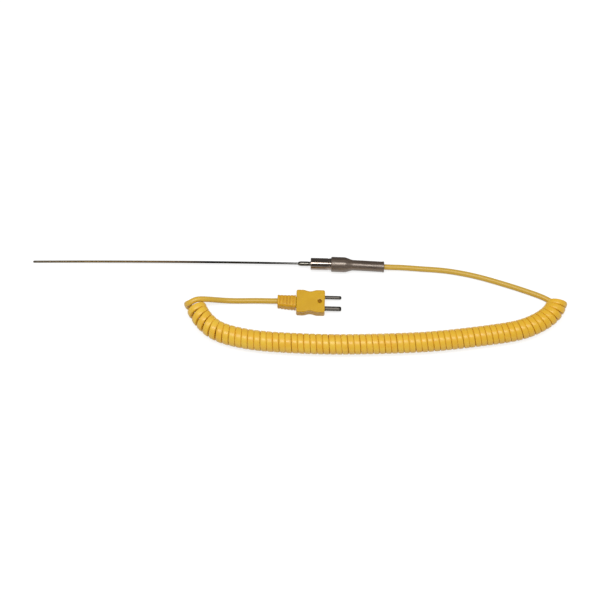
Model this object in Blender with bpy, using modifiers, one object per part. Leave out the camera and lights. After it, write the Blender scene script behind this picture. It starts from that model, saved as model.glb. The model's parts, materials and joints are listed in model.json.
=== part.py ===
"""Thermocouple probe with a curly lead and a miniature flat-pin plug.

Metres, +Z up, lying on a table at z = 0. X runs along the probe from the needle's tip at
-X to the end of the strain relief at +X, and the origin is under the middle of that length.
"""

import math

import bmesh
import bpy
import numpy as np
from mathutils import Matrix, Vector

# Clearances
FINE_FIT = 0.00003
CLOSE_FIT = 0.00008
SEAM = 0.0001
GAP = 0.0003

# Mineral-insulated needle
NEEDLE_LENGTH = 0.180
SHEATH_RADIUS = 0.00075
SHEATH_WALL = 0.00020
TIP_WALL = 0.00050
JUNCTION_RADIUS = 0.00030
ELEMENT_RADIUS = 0.00012
ELEMENT_OFFSET = 0.00024
NEEDLE_SWAY = 0.0013
NEEDLE_SPACING = 0.010

# Nose ferrule
FERRULE_LENGTH = 0.0085
FERRULE_RADIUS = 0.0016
FERRULE_NOSE_RADIUS = 0.0011
FERRULE_NOSE_LENGTH = 0.0022
FERRULE_NOSE_FULLNESS = 0.68
FERRULE_NOSE_CHAMFER = 0.0002
FERRULE_NECK_RADIUS = 0.0014
FERRULE_NECK_LENGTH = 0.0004
FERRULE_NECK_TAPER = 0.0006
FERRULE_COLLAR_LENGTH = 0.0007
SPIGOT_RADIUS = 0.0013

# Barrel
BARREL_RADIUS = 0.00405
BARREL_LENGTH = 0.0225
BARREL_SHOWN = 0.0138
BARREL_WALL = 0.0007
BARREL_FRONT_WALL = 0.0030
BARREL_CHAMFER = 0.0004
COUNTERBORE_DEPTH = 0.0003
GROOVE_DEPTH = 0.0002
GROOVE_WIDTH = 0.0012
GROOVE_SETBACK = 0.0016

# Joints and resin inside the barrel
SHEATH_TAIL = 0.0015
SPLICE_RADIUS = 0.0008
SPLICE_LENGTH = 0.0050
SPLICE_OFFSET = 0.0015
SPLICE_SETBACK = 0.0035
SPLICE_INSERTION = 0.0020
ELEMENT_LEAD_IN = 0.0006
CORE_RADIUS = 0.00065
CORE_OFFSET = 0.00075
CONDUCTOR_RADIUS = 0.00030
CORE_SPACING = 0.0020
STRIPPED_LENGTH = 0.0023
RESIN_SETBACK = 0.0010

# Strain relief
RELIEF_LENGTH = 0.0358
RELIEF_RADIUS = 0.0051
RELIEF_BULGE_LENGTH = 0.0086
RELIEF_CONE_LENGTH = 0.0063
RELIEF_TAIL_RADIUS = 0.00355
RELIEF_LIP_RADIUS = 0.00370
RELIEF_LIP_LENGTH = 0.0014
RELIEF_EDGE = 0.0004
RELIEF_EDGE_SHARE = 0.4
RELIEF_SWAY = 0.0004
RELIEF_SPACING = 0.0030
DROOP_POWER = 1.5
REST_CLEARANCE = 0.00002

# Lead and curly cord
CORD_RADIUS = 0.0019
COIL_RADIUS = 0.0068
LEAD_SPACING = 0.0090
COIL_SPACING = 0.0070
LEAD_SEATING = 0.0180
SEATED_SPACING = 0.0060

# Miniature plug, in its own frame: x from its rear face, z from its underside
PLUG_LENGTH = 0.0191
PLUG_WIDTH = 0.0158
PLUG_THICKNESS = 0.0080
PLUG_WALL = 0.0013
PLUG_REAR_WALL = 0.0026
PLUG_EDGE = 0.0005
PLUG_CORNER = 0.0012
WAIST_X = 0.0092
WAIST_REACH = 0.0050
WAIST_DEPTH = 0.0010
WELL_END_X = 0.0078
POCKET_END_X = 0.0132
RIB_WIDTH = 0.0010

# Pins and terminals
PIN_SPACING = 0.0079
PIN_THICKNESS = 0.0008
PIN_REACH = 0.0111
POSITIVE_PIN_WIDTH = 0.0024
NEGATIVE_PIN_WIDTH = 0.0032
PIN_REAR_X = 0.0076
PIN_TIP_RADIUS = 0.0009
PIN_EDGE = 0.00015
TERMINAL_X = 0.0104
TERMINAL_SCREW_RADIUS = 0.0007
TERMINAL_HEAD_RADIUS = 0.0012
TERMINAL_HEAD_HEIGHT = 0.0008
TERMINAL_SCREW_REACH = 0.0020
TERMINAL_PLATE_SIZE = 0.0030
TERMINAL_PLATE_THICKNESS = 0.0006

# Cover screw
COVER_SCREW_X = 0.0157
COVER_SCREW_RADIUS = 0.0008
COVER_SCREW_REACH = 0.0026
COVER_HEAD_RADIUS = 0.0013
COVER_HEAD_HEIGHT = 0.0012
COVER_HEAD_DEPTH = 0.0012
DISH_RADIUS = 0.0029
DISH_DEPTH = 0.0003
SLOT_WIDTH = 0.0004
SLOT_DEPTH = 0.0004
HEAD_CHAMFER = 0.00015
SCREW_POINT_SHARE = 0.3
COVER_SCREW_STEPS = 20
TERMINAL_SCREW_STEPS = 16

# How far each screw's slot happens to be turned, in degrees
SCREW_TURNS = {"cover_screw": 35, "positive_terminal_screw": 70, "negative_terminal_screw": 20}

# Ribbed boot of the plug
BOOT_LENGTH = 0.0126
BOOT_WIDTH = 0.0086
BOOT_HEIGHT = 0.0076
BOOT_CORE_WIDTH = 0.0084
BOOT_CORE_HEIGHT = 0.0066
BOOT_CORNER = 0.0010
BOOT_NECK_WIDTH = 0.0066
BOOT_NECK_HEIGHT = 0.0052
BOOT_RIBS = 6
BOOT_RIB_SHARE = 0.62
BOOT_SWAY = 0.0007
BOOT_BEND_RINGS = 5
BOOT_ROUTE_STEPS = 4
FLANGE_LENGTH = 0.0009
FLANGE_REACH = 0.0008
JACKET_END_X = 0.0042
TAIL_STEPS = 8

# Places along the probe
PROBE_LENGTH = NEEDLE_LENGTH + FERRULE_LENGTH + BARREL_SHOWN + RELIEF_LENGTH
TIP_X = -PROBE_LENGTH / 2
FERRULE_X = TIP_X + NEEDLE_LENGTH
BARREL_X = FERRULE_X + FERRULE_LENGTH
RELIEF_X = BARREL_X + BARREL_SHOWN
EXIT_X = RELIEF_X + RELIEF_LENGTH
AXIS_Z = RELIEF_RADIUS + REST_CLEARANCE
DROOP_X = RELIEF_X + RELIEF_BULGE_LENGTH
NEEDLE_DROP = AXIS_Z - SHEATH_RADIUS - REST_CLEARANCE
RELIEF_DROP = AXIS_Z - RELIEF_LIP_RADIUS - REST_CLEARANCE
SHEATH_END_X = BARREL_X + BARREL_FRONT_WALL + SHEATH_TAIL
SPLICE_X = SHEATH_END_X + SPLICE_SETBACK
JACKET_X = EXIT_X - LEAD_SEATING

# Where the plug lies: its rear face's middle is beside the barrel
PLUG_BACK = 0.0586
PLUG_ASIDE = 0.02755
PLUG_PLACE = Vector((EXIT_X - PLUG_BACK, -PLUG_ASIDE, 0.0))
MID_Z = PLUG_THICKNESS / 2

# Cord routes on the table, measured from the middle of the strain relief's end
LEAD_ROUTE = [
    (0.0048, -0.0005, 0.00340),
    (0.0095, -0.0004, 0.00305),
    (0.0177, -0.0005, 0.00255),
    (0.0259, -0.0008, 0.00218),
    (0.0340, -0.0011, 0.00200),
    (0.0421, -0.0017, 0.00195),
    (0.0502, -0.0028, 0.00193),
    (0.0583, -0.0043, 0.00193),
    (0.0664, -0.0062, 0.00193),
    (0.0744, -0.0084, 0.00193),
    (0.0825, -0.0108, 0.00193),
    (0.0905, -0.0133, 0.00193),
    (0.0985, -0.0160, 0.00193),
    (0.1060, -0.0188, 0.00193),
    (0.1096, -0.0205, 0.00193),
]
COIL_ROUTE = [
    (-0.1269, -0.0301),
    (-0.1245, -0.0354),
    (-0.1196, -0.0426),
    (-0.1116, -0.0492),
    (-0.1000, -0.0533),
    (-0.0860, -0.0557),
    (-0.0660, -0.0570),
    (-0.0420, -0.0575),
    (-0.0180, -0.0570),
    (0.0060, -0.0558),
    (0.0300, -0.0540),
    (0.0540, -0.0509),
    (0.0760, -0.0474),
    (0.0920, -0.0437),
    (0.1042, -0.0380),
    (0.1095, -0.0341),
    (0.1131, -0.0300),
    (0.1158, -0.0240),
]
PLUG_LEAD_ROUTE = [
    (-0.0749, -0.0268, 0.00360),
    (-0.0790, -0.0266, 0.00300),
    (-0.0871, -0.0264, 0.00215),
    (-0.0951, -0.0266, 0.00193),
    (-0.1032, -0.0269, 0.00250),
    (-0.1071, -0.0272, 0.00360),
    (-0.1110, -0.0276, 0.00530),
    (-0.1149, -0.0281, 0.00730),
    (-0.1171, -0.0284, 0.00850),
    (-0.1187, -0.0287, 0.00940),
]

# Colour, roughness and metallic value of each material
FINISHES = {
    "polished_steel": ((0.42, 0.40, 0.37), 0.22, 1.0),
    "oxide_powder": ((0.80, 0.79, 0.75), 0.90, 0.0),
    "nickel_alloy": ((0.36, 0.35, 0.33), 0.35, 1.0),
    "tinned_copper": ((0.70, 0.66, 0.60), 0.30, 1.0),
    "resin": ((0.06, 0.06, 0.06), 0.50, 0.0),
    "dark_rubber": ((0.10, 0.075, 0.065), 0.38, 0.0),
    "yellow_cord": ((0.83, 0.55, 0.10), 0.38, 0.0),
    "yellow_core": ((0.85, 0.62, 0.08), 0.40, 0.0),
    "red_core": ((0.60, 0.04, 0.03), 0.40, 0.0),
    "yellow_plastic": ((0.80, 0.50, 0.05), 0.35, 0.0),
    "dark_screw": ((0.20, 0.10, 0.03), 0.45, 1.0),
}


def clear_scene():
    for item in list(bpy.data.objects):
        bpy.data.objects.remove(item, do_unlink=True)


def new_collection(name):
    collection = bpy.data.collections.new(name)
    bpy.context.scene.collection.children.link(collection)
    return collection


def finish(name):
    """The named material, made the first time it is asked for."""
    found = bpy.data.materials.get(name)
    if found:
        return found
    colour, roughness, metallic = FINISHES[name]
    material = bpy.data.materials.new(name)
    material.use_nodes = True
    shader = material.node_tree.nodes["Principled BSDF"]
    shader.inputs["Base Color"].default_value = (*colour, 1.0)
    shader.inputs["Roughness"].default_value = roughness
    shader.inputs["Metallic"].default_value = metallic
    material.diffuse_color = (*colour, 1.0)
    return material


def place(name, data, material=None):
    """An object of this mesh or curve, as a piece of the probe or, with no material, a cutter."""
    item = bpy.data.objects.new(name, data)
    if material:
        data.materials.append(finish(material))
        PIECES.objects.link(item)
    else:
        item.hide_render = True
        item.display_type = "WIRE"
        CUTTERS.objects.link(item)
    return item


def evaluated_mesh(item):
    bpy.context.view_layer.update()
    graph = bpy.context.evaluated_depsgraph_get()
    return bpy.data.meshes.new_from_object(item.evaluated_get(graph))


def weld_and_face_out(mesh):
    shape = bmesh.new()
    shape.from_mesh(mesh)
    bmesh.ops.remove_doubles(shape, verts=shape.verts, dist=1e-7)
    bmesh.ops.recalc_face_normals(shape, faces=shape.faces)
    shape.to_mesh(mesh)
    shape.free()


def shade(item):
    item.data.shade_smooth()
    item.data.set_sharp_from_angle(angle=math.radians(35))


def settled(item):
    """The same object with its modifiers applied and its place taken into its mesh."""
    mesh = evaluated_mesh(item)
    mesh.transform(item.matrix_world)
    item.modifiers.clear()
    item.parent = None
    item.matrix_world = Matrix.Identity(4)
    item.data = mesh
    return item


def tube(name, points, radius, sides, material=None, swell=None):
    """A round wire through these points, as a welded mesh. swell scales the radius at each point.

    A cutter is turned by half a side, so that its edges miss those of the piece around it.
    """
    curve = bpy.data.curves.new(name, "CURVE")
    curve.dimensions = "3D"
    curve.bevel_depth = radius
    curve.bevel_resolution = sides // 2 - 2
    curve.use_fill_caps = True
    spline = curve.splines.new("POLY")
    spline.points.add(len(points) - 1)
    for index, point in enumerate(points):
        spline.points[index].co = (*point, 1.0)
        spline.points[index].radius = swell[index] if swell else 1.0
        spline.points[index].tilt = 0.0 if material else math.pi / sides
    wire = place(name, curve)
    mesh = evaluated_mesh(wire)
    mesh.transform(wire.matrix_world)
    bpy.data.objects.remove(wire)
    weld_and_face_out(mesh)
    mesh.materials.clear()
    item = place(name, mesh, material)
    shade(item)
    return item


def turned(name, x, outer, inner=None, material=None, steps=32, upright=False):
    """A turned piece starting at x. outer and inner are lists of (distance along, radius).

    With no inner list it is solid. upright turns it about Z instead of laying it along X.
    """
    loop = [(radius, along) for along, radius in reversed(outer)]
    if inner:
        loop += [(radius, along) for along, radius in inner]
    else:
        loop = [(0.0, outer[-1][0])] + loop + [(0.0, outer[0][0])]
    mesh = bpy.data.meshes.new(name)
    edges = [(index, index + 1) for index in range(len(loop) - 1)]
    if inner:
        edges.append((len(loop) - 1, 0))
    mesh.from_pydata([(radius, 0.0, along) for radius, along in loop], edges, [])
    item = place(name, mesh, material)
    screw = item.modifiers.new("turn", "SCREW")
    screw.axis = "Z"
    screw.steps = steps
    screw.render_steps = steps
    screw.use_merge_vertices = True
    screw.merge_threshold = 1e-6
    screw.use_smooth_shade = True
    if not upright:
        item.rotation_euler = (0.0, math.radians(90), 0.0)
        item.location = (x, 0.0, AXIS_Z)
    return item


def block(name, low, high, material=None):
    """A box between two corners."""
    low = Vector(low)
    high = Vector(high)
    shape = bmesh.new()
    bmesh.ops.create_cube(shape, size=1.0, matrix=Matrix.LocRotScale((low + high) / 2, None, high - low))
    mesh = bpy.data.meshes.new(name)
    shape.to_mesh(mesh)
    shape.free()
    return place(name, mesh, material)


def flat_piece(name, outline, low, high, material):
    """A flat piece with this outline between two heights, from a filled and extruded curve."""
    curve = bpy.data.curves.new(name, "CURVE")
    curve.dimensions = "2D"
    curve.fill_mode = "BOTH"
    curve.extrude = (high - low) / 2
    spline = curve.splines.new("POLY")
    spline.points.add(len(outline) - 1)
    for index, (x, y) in enumerate(outline):
        spline.points[index].co = (x, y, 0.0, 1.0)
    spline.use_cyclic_u = True
    sheet = place(name, curve)
    mesh = evaluated_mesh(sheet)
    bpy.data.objects.remove(sheet)
    mesh.transform(Matrix.Translation((0.0, 0.0, (low + high) / 2)))
    weld_and_face_out(mesh)
    mesh.materials.clear()
    return place(name, mesh, material)


def round_rim(item, height, width, segments):
    """Rounds the outer edges that lie at this height of the piece's own mesh."""
    shape = bmesh.new()
    shape.from_mesh(item.data)
    bmesh.ops.dissolve_limit(shape, angle_limit=math.radians(1), verts=shape.verts, edges=shape.edges)
    rim = [
        edge
        for edge in shape.edges
        if all(abs(vert.co.z - height) < 1e-6 for vert in edge.verts)
    ]
    bmesh.ops.bevel(
        shape, geom=rim, offset=width, segments=segments, profile=0.5, affect="EDGES", clamp_overlap=True
    )
    bmesh.ops.triangulate(shape, faces=shape.faces)
    shape.to_mesh(item.data)
    shape.free()


def combine(item, other, operation="DIFFERENCE"):
    """Cuts the other object out of item, or joins it on; the other becomes a hidden cutter."""
    change = item.modifiers.new(other.name, "BOOLEAN")
    change.operation = operation
    change.solver = "EXACT"
    change.object = other
    return item


def cut(item, *cutters):
    for cutter in cutters:
        combine(item, cutter)
    return item


def spline_through(points, spacing):
    """Evenly spaced points on a natural cubic spline through these points."""
    route = np.array(points, float)
    knots = np.concatenate([[0.0], np.cumsum(np.linalg.norm(np.diff(route, axis=0), axis=1))])
    spans = np.diff(knots)
    count = len(route)
    system = np.eye(count)
    right = np.zeros_like(route)
    for i in range(1, count - 1):
        system[i, i - 1 : i + 2] = (spans[i - 1], 2 * (spans[i - 1] + spans[i]), spans[i])
        slopes = (route[i + 1] - route[i]) / spans[i] - (route[i] - route[i - 1]) / spans[i - 1]
        right[i] = 6 * slopes
    bend = np.linalg.solve(system, right)
    steps = max(2, round(knots[-1] / spacing) + 1)
    found = []
    for along in np.linspace(0.0, knots[-1], steps):
        i = min(int(np.searchsorted(knots, along, side="right")) - 1, count - 2)
        after = along - knots[i]
        before = knots[i + 1] - along
        point = (bend[i] * before**3 + bend[i + 1] * after**3) / (6 * spans[i])
        point += (route[i] / spans[i] - bend[i] * spans[i] / 6) * before
        point += (route[i + 1] / spans[i] - bend[i + 1] * spans[i] / 6) * after
        found.append(Vector(point))
    return found


def probe_axis(x, side=0.0, up=0.0):
    """A point of the probe's bowed centre line at x, moved sideways and upwards."""
    bow = max(0.0, (FERRULE_X - x) / NEEDLE_LENGTH) ** 2
    droop = max(0.0, (x - DROOP_X) / (EXIT_X - DROOP_X)) ** DROOP_POWER
    y = -NEEDLE_SWAY * bow - RELIEF_SWAY * droop
    z = AXIS_Z - NEEDLE_DROP * bow - RELIEF_DROP * droop
    return Vector((x, y + side, z + up))


def stations(start, end, spacing):
    """Places along X from start to end, with the ends and a common grid between them."""
    first = math.floor(start / spacing) + 1
    last = math.ceil(end / spacing) - 1
    grid = [index * spacing for index in range(first, last + 1)]
    inside = [x for x in grid if start + spacing / 20 < x < end - spacing / 20]
    return [start] + inside + [end]


def add_rings(mesh, places):
    """Cuts extra edge loops across X, so that a straight mesh can follow a bend."""
    shape = bmesh.new()
    shape.from_mesh(mesh)
    for x in places:
        everything = shape.verts[:] + shape.edges[:] + shape.faces[:]
        bmesh.ops.bisect_plane(shape, geom=everything, dist=1e-7, plane_co=(x, 0.0, 0.0), plane_no=(1.0, 0.0, 0.0))
    bmesh.ops.triangulate(shape, faces=shape.faces)
    shape.to_mesh(mesh)
    shape.free()


def follow_axis(item):
    """Bends a straight turned piece onto the probe's bowed centre line."""
    settled(item)
    for vert in item.data.vertices:
        axis = probe_axis(vert.co.x)
        vert.co.y += axis.y
        vert.co.z += axis.z - AXIS_Z
    shade(item)


def make_sheath():
    """The metal tube, closed at its tip and bowed down until the tip touches the table."""
    length = SHEATH_END_X - TIP_X
    bore = SHEATH_RADIUS - SHEATH_WALL
    rings = stations(TIP_WALL, length, NEEDLE_SPACING)
    profile = []
    for angle in (12, 35, 60, 90):
        turn = math.radians(angle)
        profile.append((SHEATH_RADIUS * (1 - math.cos(turn)), SHEATH_RADIUS * math.sin(turn)))
    profile += [(along, SHEATH_RADIUS) for along in rings[1:]]
    profile += [(along, bore) for along in reversed(rings)]
    follow_axis(turned("sheath", TIP_X, profile, None, "polished_steel", steps=12))


def element_places():
    """Where the junction bead is and where the two wires leave it."""
    bead_x = TIP_X + TIP_WALL + FINE_FIT + JUNCTION_RADIUS
    return bead_x, bead_x + JUNCTION_RADIUS + FINE_FIT


def element_path(side):
    """One wire's route from the junction bead to its splice; side is +1 or -1."""
    _, start = element_places()
    straight = stations(start, SHEATH_END_X, NEEDLE_SPACING)
    path = [probe_axis(x, side * ELEMENT_OFFSET) for x in straight]
    path.append(probe_axis(SPLICE_X - ELEMENT_LEAD_IN, side * SPLICE_OFFSET))
    path.append(probe_axis(SPLICE_X + SPLICE_INSERTION, side * SPLICE_OFFSET))
    return path


def make_needle_inside():
    bead_x, wires_x = element_places()
    shape = bmesh.new()
    bmesh.ops.create_uvsphere(
        shape, u_segments=12, v_segments=8, radius=JUNCTION_RADIUS, matrix=Matrix.Translation(probe_axis(bead_x))
    )
    mesh = bpy.data.meshes.new("measuring_junction")
    shape.to_mesh(mesh)
    shape.free()
    place("measuring_junction", mesh, "nickel_alloy")
    core_places = stations(wires_x, SHEATH_END_X - FINE_FIT, NEEDLE_SPACING)
    core_radius = SHEATH_RADIUS - SHEATH_WALL - FINE_FIT
    core = tube("insulation_core", [probe_axis(x) for x in core_places], core_radius, 12, "oxide_powder")
    for name, side in (("positive", 1), ("negative", -1)):
        tube(name + "_element", element_path(side), ELEMENT_RADIUS, 8, "nickel_alloy")
        bore_places = stations(wires_x - GAP, SHEATH_END_X + GAP, NEEDLE_SPACING)
        bore_path = [probe_axis(x, side * ELEMENT_OFFSET) for x in bore_places]
        cut(core, tube(name + "_bore", bore_path, ELEMENT_RADIUS + FINE_FIT, 8))


def make_ferrule():
    collar = FERRULE_LENGTH - FERRULE_COLLAR_LENGTH
    neck = collar - FERRULE_NECK_LENGTH
    swell = (FERRULE_RADIUS - FERRULE_NOSE_RADIUS) * FERRULE_NOSE_FULLNESS
    seat = FERRULE_LENGTH + COUNTERBORE_DEPTH - SEAM
    outer = [
        (0.0, FERRULE_NOSE_RADIUS - FERRULE_NOSE_CHAMFER),
        (FERRULE_NOSE_CHAMFER, FERRULE_NOSE_RADIUS),
        (FERRULE_NOSE_LENGTH / 2, FERRULE_NOSE_RADIUS + swell),
        (FERRULE_NOSE_LENGTH, FERRULE_RADIUS),
        (neck - FERRULE_NECK_TAPER, FERRULE_RADIUS),
        (neck, FERRULE_NECK_RADIUS),
        (collar, FERRULE_NECK_RADIUS),
        (collar + SEAM, FERRULE_RADIUS),
        (seat, FERRULE_RADIUS),
        (seat, SPIGOT_RADIUS),
        (FERRULE_LENGTH + BARREL_FRONT_WALL - SEAM, SPIGOT_RADIUS),
    ]
    bore = SHEATH_RADIUS + FINE_FIT
    inner = [(0.0, bore), (FERRULE_LENGTH + BARREL_FRONT_WALL - SEAM, bore)]
    return turned("nose_ferrule", FERRULE_X, outer, inner, "polished_steel", steps=24)


def make_barrel():
    inside = BARREL_RADIUS - BARREL_WALL
    groove = BARREL_SHOWN - GROOVE_SETBACK
    outer = [
        (0.0, BARREL_RADIUS - BARREL_CHAMFER),
        (BARREL_CHAMFER, BARREL_RADIUS),
        (groove - GROOVE_WIDTH / 2, BARREL_RADIUS),
        (groove - GROOVE_WIDTH / 4, BARREL_RADIUS - GROOVE_DEPTH),
        (groove + GROOVE_WIDTH / 4, BARREL_RADIUS - GROOVE_DEPTH),
        (groove + GROOVE_WIDTH / 2, BARREL_RADIUS),
        (BARREL_LENGTH - BARREL_CHAMFER / 2, BARREL_RADIUS),
        (BARREL_LENGTH, BARREL_RADIUS - BARREL_CHAMFER / 2),
    ]
    inner = [
        (0.0, FERRULE_RADIUS + CLOSE_FIT),
        (COUNTERBORE_DEPTH, FERRULE_RADIUS + CLOSE_FIT),
        (COUNTERBORE_DEPTH, SPIGOT_RADIUS + FINE_FIT),
        (BARREL_FRONT_WALL, SPIGOT_RADIUS + FINE_FIT),
        (BARREL_FRONT_WALL, inside),
        (BARREL_LENGTH, inside),
    ]
    return turned("barrel", BARREL_X, outer, inner, "polished_steel")


def core_path(side):
    """One insulated core's route from its splice to the end of the lead's jacket, with its swell."""
    bare_end = SPLICE_X + SPLICE_LENGTH
    start = bare_end - STRIPPED_LENGTH
    bare = CONDUCTOR_RADIUS / CORE_RADIUS
    path = [probe_axis(start, side * SPLICE_OFFSET), probe_axis(bare_end, side * SPLICE_OFFSET)]
    swell = [bare, bare]
    converge_x = BARREL_X + BARREL_LENGTH
    insulated = [bare_end + SEAM] + stations(converge_x, JACKET_X - GAP, CORE_SPACING)
    for x in insulated:
        share = max(0.0, (x - converge_x) / (insulated[-1] - converge_x))
        ease = share * share * (3 - 2 * share)
        path.append(probe_axis(x, side * (SPLICE_OFFSET + (CORE_OFFSET - SPLICE_OFFSET) * ease)))
        swell.append(1.0)
    return path, swell


def make_splices_and_potting():
    """The resin that fills the barrel, with the joints from element wires to lead cores in it."""
    inside = BARREL_RADIUS - BARREL_WALL - CLOSE_FIT
    start = BARREL_X + BARREL_FRONT_WALL + SEAM
    length = BARREL_LENGTH - BARREL_FRONT_WALL - RESIN_SETBACK
    socket_radius = SHEATH_RADIUS + CLOSE_FIT
    socket_depth = SHEATH_END_X + SEAM - start
    outer = [(socket_depth, socket_radius), (0.0, socket_radius), (0.0, inside), (length, inside)]
    # With 30 steps no edge of its faces lies in the plane of the two splices.
    resin = turned("potting", start, outer, None, "resin", steps=30)
    for name, side, colour in (("positive", 1, "yellow_core"), ("negative", -1, "red_core")):
        outer = [(0.0, SPLICE_RADIUS), (SPLICE_LENGTH, SPLICE_RADIUS)]
        wire_bore = ELEMENT_RADIUS + FINE_FIT
        core_bore = CONDUCTOR_RADIUS + FINE_FIT
        step = SPLICE_LENGTH - STRIPPED_LENGTH - SEAM
        inner = [(0.0, wire_bore), (step, wire_bore), (step, core_bore), (SPLICE_LENGTH, core_bore)]
        splice = turned(name + "_splice", SPLICE_X, outer, inner, "tinned_copper", steps=12)
        splice.location.y = side * SPLICE_OFFSET
        path, swell = core_path(side)
        tube(name + "_core", path, CORE_RADIUS, 8, colour, swell)
        channels = [
            tube(name + "_element_channel", element_path(side)[-3:], ELEMENT_RADIUS + CLOSE_FIT, 8),
            tube(
                name + "_splice_channel",
                [
                    probe_axis(SPLICE_X - SEAM, side * SPLICE_OFFSET),
                    probe_axis(start + length + GAP, side * SPLICE_OFFSET),
                ],
                SPLICE_RADIUS + CLOSE_FIT,
                12,
            ),
        ]
        cut(resin, *channels)


def make_strain_relief():
    """The dark shrink sleeve: a bulge over the barrel, a cone, and a tail that droops to the table."""
    cone_end = RELIEF_BULGE_LENGTH + RELIEF_CONE_LENGTH
    lip = RELIEF_LENGTH - RELIEF_LIP_LENGTH
    tail = stations(cone_end, lip, RELIEF_SPACING)
    outer = [
        (0.0, RELIEF_RADIUS - RELIEF_EDGE),
        (RELIEF_EDGE * RELIEF_EDGE_SHARE, RELIEF_RADIUS - RELIEF_EDGE * RELIEF_EDGE_SHARE),
        (RELIEF_EDGE, RELIEF_RADIUS),
        (RELIEF_BULGE_LENGTH - RELIEF_EDGE, RELIEF_RADIUS),
        (RELIEF_BULGE_LENGTH + RELIEF_EDGE, RELIEF_RADIUS - RELIEF_EDGE * RELIEF_EDGE_SHARE),
        (cone_end - RELIEF_EDGE * 2, RELIEF_TAIL_RADIUS + RELIEF_EDGE * RELIEF_EDGE_SHARE),
    ]
    outer += [(along, RELIEF_TAIL_RADIUS) for along in tail]
    outer += [(lip + RELIEF_EDGE, RELIEF_LIP_RADIUS), (RELIEF_LENGTH, RELIEF_LIP_RADIUS)]
    over_barrel = BARREL_LENGTH - BARREL_SHOWN + SEAM
    inner = [(0.0, BARREL_RADIUS + CLOSE_FIT), (over_barrel, BARREL_RADIUS + CLOSE_FIT)]
    inner += [(along, CORD_RADIUS + CLOSE_FIT * 2) for along in tail]
    inner += [(RELIEF_LENGTH, CORD_RADIUS + CLOSE_FIT * 2)]
    follow_axis(turned("strain_relief", RELIEF_X, outer, inner, "dark_rubber"))


def from_exit(point, height=None):
    """A route point in the probe's frame."""
    x, y = point[:2]
    z = point[2] if height is None else height
    return (EXIT_X + x, y, z)


def make_cord():
    """The two plain stretches of lead, and the coil as one fat tube of its outer diameter."""
    seated = [probe_axis(x) for x in stations(JACKET_X, EXIT_X, SEATED_SPACING)]
    route = [tuple(point) for point in seated] + [from_exit(point) for point in LEAD_ROUTE]
    tube("lead_to_coil", spline_through(route, LEAD_SPACING), CORD_RADIUS, 8, "yellow_cord")
    height = COIL_RADIUS + REST_CLEARANCE
    axis = spline_through([from_exit(point, height) for point in COIL_ROUTE], COIL_SPACING)
    # The end turns are half a cord wider than the line that runs through their middles.
    first = axis[0] + (axis[0] - axis[1]).normalized() * CORD_RADIUS
    last = axis[-1] + (axis[-1] - axis[-2]).normalized() * CORD_RADIUS
    tube("curly_cord", [first] + axis[1:-1] + [last], COIL_RADIUS, 12, "yellow_cord")
    inside_plug = [plug_point(x) for x in (JACKET_END_X, 0.0)]
    inside_boot = [plug_point(-BOOT_LENGTH * step / BOOT_ROUTE_STEPS) for step in range(1, BOOT_ROUTE_STEPS + 1)]
    route = inside_plug + inside_boot + [from_exit(point) for point in PLUG_LEAD_ROUTE]
    tube("lead_to_plug", spline_through(route, LEAD_SPACING / 2), CORD_RADIUS, 8, "yellow_cord")


def boot_sway(x):
    """How far the boot has bent sideways at x of the plug's frame."""
    return BOOT_SWAY * max(0.0, -x / BOOT_LENGTH) ** 2


def plug_point(x):
    """A point on the plug's middle line, which bends with the boot behind the plug."""
    return tuple(PLUG_PLACE + Vector((x, boot_sway(x), MID_Z)))


def plug_half_width(x):
    """Half the plug's width at x, drawn in at the finger waist."""
    nearness = max(0.0, 1.0 - abs(x - WAIST_X) / WAIST_REACH)
    return PLUG_WIDTH / 2 - WAIST_DEPTH * (1 - math.cos(math.pi * nearness)) / 2


def plug_outline():
    """The plug seen from above, with round corners and a waist on each side."""
    corner = [math.radians(angle) for angle in (0, 30, 60, 90)]
    half = PLUG_WIDTH / 2
    side = []
    for angle in corner:
        x = PLUG_CORNER * (1 - math.cos(angle))
        side.append((x, half - PLUG_CORNER + PLUG_CORNER * math.sin(angle)))
    for index in range(1, 12):
        x = WAIST_X + WAIST_REACH * (index / 6 - 1)
        side.append((x, plug_half_width(x)))
    for angle in reversed(corner):
        x = PLUG_LENGTH - PLUG_CORNER * (1 - math.cos(angle))
        side.append((x, half - PLUG_CORNER + PLUG_CORNER * math.sin(angle)))
    return side + [(x, -y) for x, y in reversed(side)]


def pin_sides():
    """Each pin's name, its middle across the plug, and its width."""
    return (
        ("positive", PIN_SPACING / 2, POSITIVE_PIN_WIDTH),
        ("negative", -PIN_SPACING / 2, NEGATIVE_PIN_WIDTH),
    )


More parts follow.
